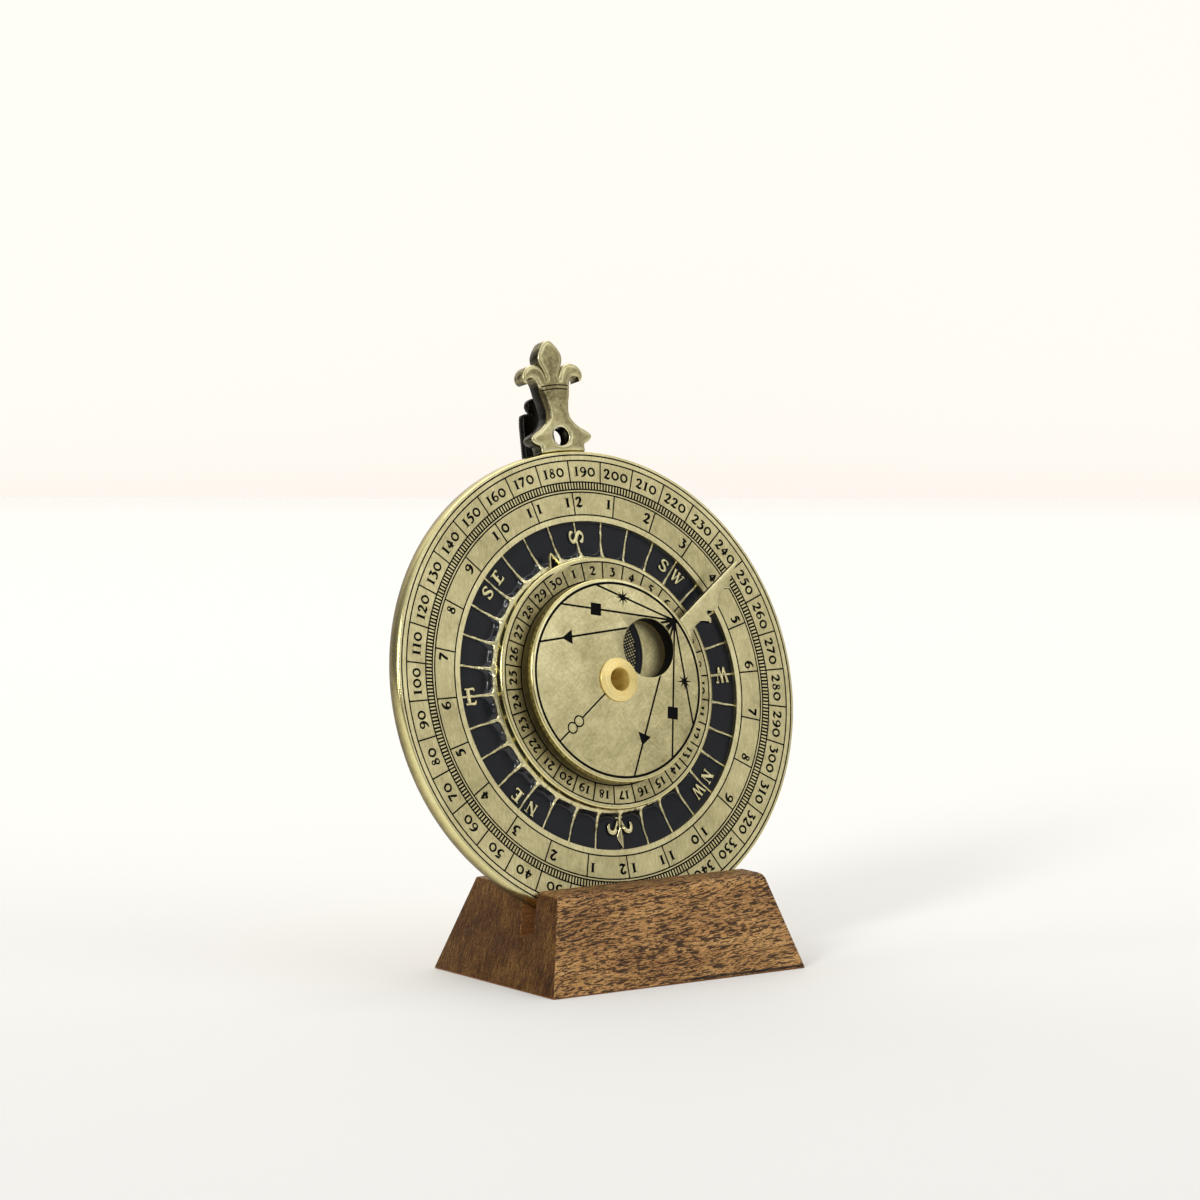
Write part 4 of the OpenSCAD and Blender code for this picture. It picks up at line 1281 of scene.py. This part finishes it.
def moon_tooth():
    b = Build()
    half = [(0.16, 25.02), (0.36, 24.72), (0.6, 24.2), (0.9, 23.5), (1.2, 22.8), (1.5, 22.15)]
    tri = [(0, 25.1)] + half + [(1.45, 21.95), (-1.45, 21.95)] + [(-x, y) for x, y in half[::-1]]

    def dish(P, d):
        return -0.42 * np.clip((d - 0.17) / 0.25, 0, 1)

    # the middle of the dish is given the black filler material
    def inked(P):
        t = np.array([turned([tuple(p)], -MOON_TURN)[0] for p in P])
        w = np.interp(t[:, 1], [p[1] for p in half[::-1]], [p[0] for p in half[::-1]])
        return (np.abs(t[:, 0] + 0.1) < w - 0.30) & (t[:, 1] < 24.5)

    pillow(b, [turned(tri, MOON_TURN)], 0.68, 1.42, 0.13, 0.1, grid=0.15, levels=3, crown=dish, inked=inked)
    return b


def new_moon_dots():
    """Brass left standing between the hatch lines of the dark field."""
    b = Build()
    rng = random.Random(3)
    pitch, half = 0.50, 0.13
    for i in range(-18, 19):
        for j in range(-18, 19):
            x, y = turned([(i * pitch, j * pitch)], MOON_TURN)[0]
            if math.hypot(x, y) > 8.7:
                continue
            cx, cy = NEW_C[0] + x + rng.uniform(-0.012, 0.012), NEW_C[1] + y + rng.uniform(-0.012, 0.012)
            if math.hypot(cx, cy) < 3.95:
                continue
            h = half * rng.uniform(0.7, 1.2)
            q = [(cx + sx * h, cy + sy * h) for sx, sy in ((-1, -1), (1, -1), (1, 1), (-1, 1))]
            t = [(cx + sx * h * 0.8, cy + sy * h * 0.8) for sx, sy in ((-1, -1), (1, -1), (1, 1), (-1, 1))]
            b.add([(*p, 2.25) for p in q] + [(*p, 2.36) for p in q] + [(*p, 2.385) for p in t],
                  [(3, 2, 1, 0), (8, 9, 10, 11)] + [(k, (k + 1) % 4, (k + 1) % 4 + 4, k + 4) for k in range(4)] +
                  [(k + 4, (k + 1) % 4 + 4, (k + 1) % 4 + 8, k + 8) for k in range(4)])
    return b


def off_lathe(b, c, profile, n=240, mat=0):
    """Turns (r, z) rows about an axis through c."""
    sub = Build()
    lathe(sub, profile, n, mat)
    b.add([(x + c[0], y + c[1], z) for x, y, z in sub.v], sub.f, sub.m)


def new_moon_enamel():
    """Black field with a raised glossy ring round it."""
    b = Build()
    prof = [(10.1, 1.94), (10.1, 2.34), (10.02, 2.37), (9.9, 2.345), (9.84, 2.30), (9.78, 2.345), (9.6, 2.385), (9.4, 2.385),
            (9.22, 2.345), (9.16, 2.30), (9.1, 2.345), (9.0, 2.35), (8.9, 2.33), (8.85, 2.30)]
    off_lathe(b, NEW_C, prof)
    sheet(b, [ring_pts(8.85, 240, NEW_C)], [ring_pts(3.8, 96)], [], 2.30, 0.1)
    sheet(b, [ring_pts(10.1, 240, NEW_C)], [ring_pts(3.8, 96)], [], 1.94, 0.1, up=False)
    lathe(b, [(3.8, 2.30), (3.8, 1.94)], 96)
    return b


# ------------------------------------------------------------------ aspect disc
ASPECT_TURN = 55.3
ASPECT_Z = 5.56
WINDOW_R, WINDOW_D = 5.32, 9.21


def k1(x, y):
    """Measured in units of the inner ring, 40.3 mm."""
    return (x * 40.3, y * 40.3)


def star(c, r, n=8, turn=0.0):
    pts = []
    for k in range(2 * n):
        a = turn + 180 * k / n
        rad = r * (1.0 if k % 4 == 0 else 0.88) if k % 2 == 0 else r * 0.31
        q = pol(rad, a)
        pts.append((c[0] + q[0], c[1] + q[1]))
    return pts


def aspect_cuts():
    cuts = [circle_cut(17.37, 0.46, N)]
    W = 0.37
    burst = pol(17.05, ASPECT_TURN)
    win = pol(WINDOW_D, ASPECT_TURN)

    def to_circle(rel, r=17.3):
        return pol(r, ASPECT_TURN + rel)

    # six aspect lines from the burst to the ring
    ends = {"sextile_l": -61.0, "square_l": -89.5, "trine_l": -118.0, "sextile_r": 66.5, "square_r": 93.0, "trine_r": 123.5}
    for rel in ends.values():
        e = to_circle(rel)
        cuts.append((ribbon([(*burst, 0.50), (*(np.array(burst) * 0.86 + np.array(e) * 0.14), 0.36), (*(np.array(burst) * 0.5 + np.array(e) * 0.5), W), (*e, W)], smooth=False), None))
    # short rays of the burst beside the axis
    for rel, ln in ((180 - 9, 3.9), (180, 4.2), (180 + 9, 3.9), (180 - 38, 1.6), (180 + 38, 1.6), (180 - 100, 0.9), (180 + 100, 0.9)):
        q = pol(ln, ASPECT_TURN + rel)
        cuts.append((ribbon([(*burst, 0.44), (burst[0] + q[0] * 0.5, burst[1] + q[1] * 0.5, 0.32), (burst[0] + q[0], burst[1] + q[1], 0.10)], smooth=False), None))
    # opposition: a line with two touching rings
    opp = ASPECT_TURN + 180
    ra, rb, rr = 0.290 * 40.3, 0.337 * 40.3, 0.0235 * 40.3
    cuts.append(bar(pol(3.3, opp), pol(ra - rr, opp), 0.30))
    cuts.append(bar(pol(rb + rr, opp), pol(17.3, opp), 0.30))
    for r in (ra, rb):
        c = pol(r, opp)
        cuts.append((ring_pts(rr + 0.14, 48, c), ring_pts(rr - 0.14, 48, c)))
    cuts.append((star(k1(0.09, 0.361), 1.62, 8, 8), None))
    cuts.append((star(k1(0.3525, -0.0325), 1.62, 8, 4), None))
    for c, rel in ((k1(-0.0625, 0.319), -89.5), (k1(0.264, -0.1675), 93.0)):
        e = np.array(to_circle(rel)) - np.array(burst)
        e /= np.linalg.norm(e)
        nn = np.array((-e[1], e[0]))
        h = 1.1
        cuts.append(([tuple(np.array(c) + e * sx * h + nn * sy * h) for sx, sy in ((-1, -1), (1, -1), (1, 1), (-1, 1))], None))
    cuts.append(([k1(-0.264, 0.205), k1(-0.206, 0.239), k1(-0.212, 0.173)], None))
    cuts.append(([k1(0.076, -0.298), k1(0.065, -0.234), k1(0.1275, -0.264)], None))
    return cuts


def aspect_disc():
    b = Build()
    win_c = pol(WINDOW_D, ASPECT_TURN)
    wn = 180
    edge = 0.12
    sheet(b, [ring_pts(17.95, N)], [ring_pts(WINDOW_R + edge, wn, win_c), ring_pts(2.95, 96)], aspect_cuts(), ASPECT_Z, 0.14)
    lathe(b, [(17.95, 5.56), (18.04, 5.545), (18.14, 5.49), (18.22, 5.40), (18.27, 5.28), (18.3, 5.1), (18.3, 4.45), (18.28, 4.3),
              (18.22, 4.2), (18.1, 4.15)], N, 2)
    sheet(b, [ring_pts(18.1, N)], [ring_pts(WINDOW_R + 0.1, wn, win_c), ring_pts(2.95, 96)], [], 4.15, 0.1, up=False)
    # the window's blackened wall, carried down by a thin black sleeve that fills the shade under the disc: painted
    # shade
    off_lathe(b, win_c, [(WINDOW_R + edge, 5.56), (WINDOW_R + 0.035, 5.53), (WINDOW_R, 5.45), (WINDOW_R, 2.86), (WINDOW_R + 0.03, 2.80),
                         (WINDOW_R + 0.07, 2.80), (WINDOW_R + 0.1, 2.86), (WINDOW_R + 0.1, 4.15)], wn, [2, 1, 1, 1, 1, 1, 1])
    lathe(b, [(2.95, 5.56), (2.95, 4.15)], 96)
    return b


BLADE = [
    (0.80, 16.9), (0.82, 22.0), (0.86, 28.0), (0.93, 35.45), (1.05, 35.88), (1.25, 35.7), (1.42, 35.2), (1.68, 34.4), (1.92, 33.6),
    (2.15, 32.95), (2.45, 32.35), (2.85, 31.85), (3.2, 31.5), (3.5, 31.2), (3.4, 31.0), (3.05, 30.65), (2.78, 30.15), (2.66, 29.6),
    (2.68, 29.15), (2.92, 28.7), (3.35, 28.2), (3.85, 27.65), (4.22, 27.1), (4.4, 26.5), (4.38, 25.9), (4.2, 25.4),
    (3.9, 25.02), (3.62, 24.75), (3.42, 24.45), (3.55, 24.15), (3.95, 24.05), (4.4, 24.1), (4.95, 24.05), (5.45, 23.6),
    (5.3, 23.3), (4.95, 23.3), (4.65, 22.95), (4.2, 22.5), (3.82, 21.9), (3.66, 21.2), (3.7, 20.4), (3.92, 19.6), (4.5, 18.7), (5.3, 17.9),
    (5.6, 17.2), (5.2, 16.6)]


def blade():
    b = Build()
    pts = [(p[0], p[1]) for p in spline(BLADE[4:-2], 3)]
    lp = BLADE[:4] + pts + BLADE[-2:]

    def crown(P, d):
        # the face falls from the fiducial edge to the scrolled one
        t = np.array([turned([tuple(p)], -ASPECT_TURN)[0][0] for p in P])
        return -0.10 * np.clip((t - 0.88) / 3.4, 0, 1)

    pillow(b, [turned(lp, ASPECT_TURN)], 3.65, 5.08, 0.20, 0.1, grid=0.42, levels=4, crown=crown, drop=0.55)
    return b


# ------------------------------------------------------------------ hub
def hub():
    b = Build()
    prof = [(2.03, 6.17), (2.06, 6.25), (2.14, 6.33), (2.28, 6.37)]
    for k in range(9):            # turning marks on the cone
        r = 2.36 + k * 0.165
        z = 6.37 - (r - 2.28) * 0.247
        prof += [(r, z), (r + 0.08, z - 0.028)]
    prof += [(3.84, 5.975), (3.89, 5.93), (3.9, 5.88), (3.9, 5.66), (3.86, 5.61), (2.9, 5.61), (2.9, -12.3), (2.8, -12.4), (2.12, -12.4), (2.03, -12.3)]
    for k in range(24):           # drilled wall
        z = -12.3 + (k + 1) * 0.74
        prof += [(2.03 + 0.012 * (k % 2), z)]
    lathe(b, prof, 120, closed=True)
    return b


def front_spacer():
    b = Build()
    lathe(b, [(2.93, 2.48), (3.6, 2.48), (3.7, 2.55), (3.75, 2.7), (3.75, 3.85), (3.7, 4.02), (3.6, 4.09), (2.93, 4.09)], 96, closed=True)
    return b


# ------------------------------------------------------------------ back of the dial
def hour_disc():
    b = Build()
    z0, z1 = -3.45, -5.25
    rim = []
    for k in range(24):
        c = 15 * k
        tip = 31.8 if k == 0 else 29.2
        rows = [(27.0, -0.99 * 7.5), (27.05, -0.80 * 7.5), (27.2, -0.62 * 7.5), (27.6, -0.45 * 7.5), (tip - 0.75, -0.24 * 7.5), (tip - 0.25, -0.15 * 7.5), (tip, -0.04 * 7.5)]
        rows += [(r, -a) for r, a in rows[::-1]]
        rim += [pol(r, c + a) for r, a in rows]
    n = len(rim)
    inset = [pol(math.hypot(x, y) - 0.15, math.degrees(math.atan2(x, y))) for x, y in rim]
    cuts = [circle_cut(25.9, LINE, 360), circle_cut(21.9, LINE, 360), circle_cut(20.9, LINE, 360)]
    for k in range(24):
        cuts.append(radial_bar(21.9, 25.9, 15 * k, 0.2))
        h = 12 if k % 12 == 0 else k % 12
        cuts += number_on_arc(str(h), 23.9, 15 * k + 7.5, 1.9)
    for k in range(96):
        if k % 4:
            cuts.append(radial_bar(20.9, 21.9, 3.75 * k, 0.16))
    cuts = [([(-x, y) for x, y in o], None if i is None else [(-x, y) for x, y in i]) for o, i in cuts]
    sheet(b, [inset], [ring_pts(2.95, 96)], cuts, z1, 0.12, up=False)
    sheet(b, [inset], [ring_pts(2.95, 96)], [], z0, 0.1)
    for za, zb, la, lb in ((z1, z1 + 0.15, inset, rim), (z1 + 0.15, z0 - 0.15, rim, rim), (z0 - 0.15, z0, rim, inset)):
        b.add([(*p, za) for p in la] + [(*p, zb) for p in lb], [(k, (k + 1) % n, (k + 1) % n + n, k + n) for k in range(n)])
    lathe(b, [(2.95, z0), (2.95, z1)], 96)
    return b


ARM = [(-4.6, 3.6), (-4.4, 8.0), (-4.1, 12.0), (-3.85, 27.0), (-3.6, 42.0), (-3.2, 48.5), (-3.0, 49.85), (-2.8, 50.42), (-2.35, 50.62), (-1.3, 50.6),
       (-0.95, 50.7), (-1.05, 50.95), (-1.35, 51.3), (-1.5, 51.9), (-1.4, 52.5), (-1.05, 53.0), (-0.5, 53.32), (0, 53.4)]


def index_arm():
    b = Build()
    body = [(x, y) for x, y in ARM] + [(-x, y) for x, y in ARM[-2::-1]]
    pillow(b, [body, ring_pts(7.0, 96)], -9.2, -7.4, 0.35, 0.35, holes=[ring_pts(2.95, 64)], grid=0.5, levels=4)
    return b


# ------------------------------------------------------------------ wooden block
def stand_block():
    """Bevelled block whose edges are eased by hand."""
    bx0, bx1, by0, by1, h = -25.3, 29.4, -22.0, 15.6, 16.9
    bm = bmesh.new()
    ys = Y_SHIFT

    def plane_y(v, w):
        return v * SL - w * CL + ys, v * CL + w * SL + CENTRE_H

    # the slot's four corners: front and back wall, at the floor and at the top face
    floor_v = -42.5
    f_low, b_low = plane_y(floor_v, 0.55), plane_y(floor_v, -3.4)

    def at_top(w):
        v = (h - CENTRE_H - w * SL) / CL
        return plane_y(v, w)

    f_top, b_top = at_top(0.55), at_top(-3.4)
    sec = [(by0 + ys, 0), (by0 + 6.0 + ys, h), f_top, f_low, b_low, b_top, (by1 - 6.2 + ys, h), (by1 + ys, 0)]
    left = [bm.verts.new((bx0 + 5.0 * z / h, y, z)) for y, z in sec]
    rgt = [bm.verts.new((bx1 - 5.0 * z / h, y, z)) for y, z in sec]
    n = len(sec)
    bm.faces.new(left)
    bm.faces.new(rgt[::-1])
    for k in range(n):
        f = bm.faces.new((left[k], rgt[k], rgt[(k + 1) % n], left[(k + 1) % n]))
        f.material_index = 1 if k in (2, 3, 4, 7) else 0
    bmesh.ops.recalc_face_normals(bm, faces=bm.faces)
    bw = bm.edges.layers.float.new("bevel_weight_edge")
    for e in bm.edges:
        a, c = e.verts
        on_left = a in left and c in left
        on_rgt = a in rgt and c in rgt
        ia = (left.index(a) if a in left else rgt.index(a))
        ic = (left.index(c) if c in left else rgt.index(c))
        if not on_left and not on_rgt:                 # long edges
            w = {0: 0.22, 1: 1.0, 2: 0.7, 3: 0.0, 4: 0.0, 5: 0.2, 6: 0.2, 7: 0.22}[ia]
        else:
            pair = {ia, ic}
            w = 0.3
            if pair == {0, 7}:
                w = 0.22
            if pair == {0, 1}:
                w = 0.35
            if pair <= {2, 3, 4, 5}:
                w = 0.12
            if pair == {1, 2}:
                w = 0.8
            if pair in ({5, 6}, {6, 7}):
                w = 0.18
        e[bw] = w
    me = bpy.data.meshes.new("stand_block_body")
    me.materials.append(M_WOOD)
    me.materials.append(M_RAW)
    bm.to_mesh(me)
    bm.free()
    ob = bpy.data.objects.new("stand_block_body", me)
    bpy.context.scene.collection.objects.link(ob)
    mod = ob.modifiers.new("ease", "BEVEL")
    mod.limit_method = "WEIGHT"
    mod.width = 1.25
    mod.segments = 5
    mod.use_clamp_overlap = False
    mod.material = 0
    dg = bpy.context.evaluated_depsgraph_get()
    new = bpy.data.meshes.new_from_object(ob.evaluated_get(dg))
    ob.modifiers.clear()
    ob.data = new
    kept = [f.material_index for f in new.polygons]
    new.materials.clear()
    new.materials.append(M_WOOD)
    new.materials.append(M_RAW)
    new.polygons.foreach_set("material_index", kept)
    new.transform(ROW)
    for f in new.polygons:          # the stain did not reach the lowest edge
        if f.center.z < 0.00028 and f.area < 2.5e-5:
            f.material_index = 1
    new.polygons.foreach_set("use_smooth", [True] * len(new.polygons))
    new.set_sharp_from_angle(angle=math.radians(30))
    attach(ob, "stand")
    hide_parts("stand_block")
    return ob


# ------------------------------------------------------------------ put together
main_plate().object("main_plate_body", [M_BRASS, M_INK, M_RIM], body="dial", slot="aged_brass", replaces=("main_plate",))
compass_enamel().object("compass_enamel_cells", [M_ENAMEL], body="dial", slot="black_enamel", replaces=("compass_enamel",), smooth=60)
rose_letters().object("compass_letters", [M_LETTER], body="dial", slot="aged_brass", smooth=50)
_fl = Build()
pillow(_fl, fleur_loops(), -1.12, -0.42, 0.16, grid=0.22, levels=3, crown=fleur_ridge)
_fl.object("north_fleur", [M_LETTER], body="dial", slot="aged_brass", smooth=50)
handle().object("handle_body", [M_CAST, M_INK], body="dial", slot="aged_brass", replaces=("handle",), smooth=50)
moon_disc().object("moon_age_disc_body", [M_MOON, M_INK, M_RIM], body="moon_age_disc", slot="aged_brass", replaces=("moon_age_disc",))
moon_tooth().object("moon_age_tooth", [M_MOON, M_INK], body="moon_age_disc", slot="aged_brass", smooth=40)
new_moon_dots().object("new_moon_hatch", [M_MOON], body="moon_age_disc", slot="aged_brass", smooth=0)
new_moon_enamel().object("new_moon_field", [M_ENAMEL], body="moon_age_disc", slot="black_enamel", replaces=("new_moon_enamel",))
aspect_disc().object("aspect_disc_body", [M_ASPECT, M_INK, M_RIM, M_DARK], body="aspect_disc", slot="aged_brass", replaces=("aspect_disc",))
blade().object("index_blade", [M_BLADE], body="aspect_disc", slot="aged_brass", smooth=50)
hub().object("hub_sleeve_body", [M_BRIGHT], body="dial", slot="turned_brass", replaces=("hub_sleeve",), smooth=25)
front_spacer().object("front_spacer_ring", [M_TURNED], body="dial", slot="turned_brass", replaces=("front_spacer",))
hour_disc().object("hour_disc_body", [M_REAR, M_INK], body="hour_disc", slot="aged_brass", replaces=("hour_disc",))
index_arm().object("index_arm_body", [M_DARK], body="index_arm", slot="dark_brass", replaces=("index_arm",), smooth=50)
stand_block()
for node, mt in (("rear_spacer", M_TURNED), ("spring_washer", M_STEEL), ("flat_washer", M_TURNED), ("hub_nut", M_TURNED)):
    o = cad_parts[node]
    o.data.materials.clear()
    o.data.materials.append(mt)

# ------------------------------------------------------------------ floor, backdrop and light
def plane(name, corners, mat):
    me = bpy.data.meshes.new(name)
    me.from_pydata(corners, [], [(0, 1, 2, 3)])
    me.materials.append(mat)
    o = bpy.data.objects.new(name, me)
    bpy.context.scene.collection.objects.link(o)
    return o


def floor_mat(away):
    """Matt white table, painted greyer towards its front edge and a little darker again at its far edge, as painted
    shade. away: the horizontal direction to the back.
    """
    k = Nodes("floor_white", 0.0, 0.75)
    n = k.noise(k.tc.outputs["Object"], 9.0, 4, 0.6)
    d = k.t.nodes.new("ShaderNodeVectorMath")
    d.operation = "DOT_PRODUCT"
    k.t.links.new(k.tc.outputs["Object"], d.inputs[0])
    d.inputs[1].default_value = tuple(away)
    f = k.math("MULTIPLY_ADD", d.outputs["Value"], 0.7, 0.3)
    f = k.math("ADD", f, k.math("MULTIPLY_ADD", n, 0.03, -0.015))
    k.out("Base Color", k.ramp(f, [((q + 0.4286) * 0.7, (v * 1.002, v, v * 0.978)) for q, v in ((-0.25, 0.825), (-0.06, 0.855), (0.05, 0.90), (0.2, 0.935), (0.5, 0.95), (0.8, 0.95), (0.88, 0.90))]))
    k.s.inputs["Specular IOR Level"].default_value = 0.15
    return k.m


def wall_mat():
    # the backdrop glows instead of being lit: painted light
    k = Nodes("backdrop_white", 0.0, 0.9, (0.10, 0.095, 0.09))
    n = k.noise(k.tc.outputs["Object"], 2.2, 2, 0.5)
    k.out("Emission Color", k.ramp(n, [(0.3, (0.925, 0.868, 0.805)), (0.7, (0.945, 0.90, 0.836))]))
    k.s.inputs["Emission Strength"].default_value = 1.0
    return k.m


# the table ends 0.89 m behind the object, seen along the camera's direction, and the wall is beyond it
flat_back = Vector((-back.x, -back.y, 0)).normalized()
side = Vector((right.x, right.y, 0)).normalized()
edge = flat_back * 0.89
plane("floor", [tuple(-flat_back * 2.5 - side * 3), tuple(-flat_back * 2.5 + side * 3), tuple(edge + side * 3), tuple(edge - side * 3)], floor_mat(flat_back))
w0 = edge + flat_back * 0.02 + Vector((0, 0, -0.4))
plane("backdrop", [tuple(w0 - side * 1.3), tuple(w0 + side * 1.3), tuple(w0 + side * 1.3 + Vector((0, 0, 2.2))), tuple(w0 - side * 1.3 + Vector((0, 0, 2.2)))], wall_mat())


def area_light(name, at, look, size, power, color=(1, 1, 1), size_y=None):
    d = bpy.data.lights.new(name, "AREA")
    d.energy = power
    d.color = color
    d.size = size
    if size_y:
        d.shape = "RECTANGLE"
        d.size_y = size_y
    o = bpy.data.objects.new(name, d)
    o.location = at
    o.rotation_euler = (Vector(look) - Vector(at)).to_track_quat("-Z", "Y").to_euler()
    bpy.context.scene.collection.objects.link(o)
    return o


def around(az, el, dist):
    """A place seen from the object: az to the right of the camera's direction, el above the floor."""
    a, e = math.radians(az), math.radians(el)
    v = -flat_back * math.cos(a) * math.cos(e) + side * math.sin(a) * math.cos(e) + Vector((0, 0, math.sin(e)))
    return tuple(v * dist)


look = (0, 0, 0.05)
area_light("key", around(-31, 28, 3.0), look, 0.55, 28.5, (1, 0.985, 0.965), 1.2)
area_light("window", around(68, 27, 2.4), look, 1.5, 6.9, (1, 0.99, 0.975), 1.3)
area_light("strip", around(-72, 20, 2.4), look, 0.42, 5.6, (1, 0.99, 0.97), 1.3)
area_light("over", tuple(flat_back * 1.1 + Vector((0, 0, 1.7))), tuple(flat_back * 0.7), 1.6, 17.0, (1, 0.995, 0.985))
world = bpy.data.worlds.new("studio")
bpy.context.scene.world = world
world.use_nodes = True
wt = world.node_tree
bg = wt.nodes["Background"]
bg.inputs["Strength"].default_value = 1.0
wc = wt.nodes.new("ShaderNodeTexCoord")
ws = wt.nodes.new("ShaderNodeSeparateXYZ")
wr = wt.nodes.new("ShaderNodeValToRGB")
wt.links.new(wc.outputs["Generated"], ws.inputs[0])
wt.links.new(ws.outputs[2], wr.inputs["Fac"])
wt.links.new(wr.outputs["Color"], bg.inputs["Color"])
el = wr.color_ramp.elements
for e, (p, c) in zip([el[0], el[1], el.new(0.25), el.new(0.55)], [(0.0, 0.12), (1.0, 0.56), (0.22, 0.17), (0.55, 0.36)]):
    e.position = p
    e.color = (c, c * 0.99, c * 0.97, 1)
vs = bpy.context.scene.view_settings
vs.view_transform = "Standard"
vs.look = "None"
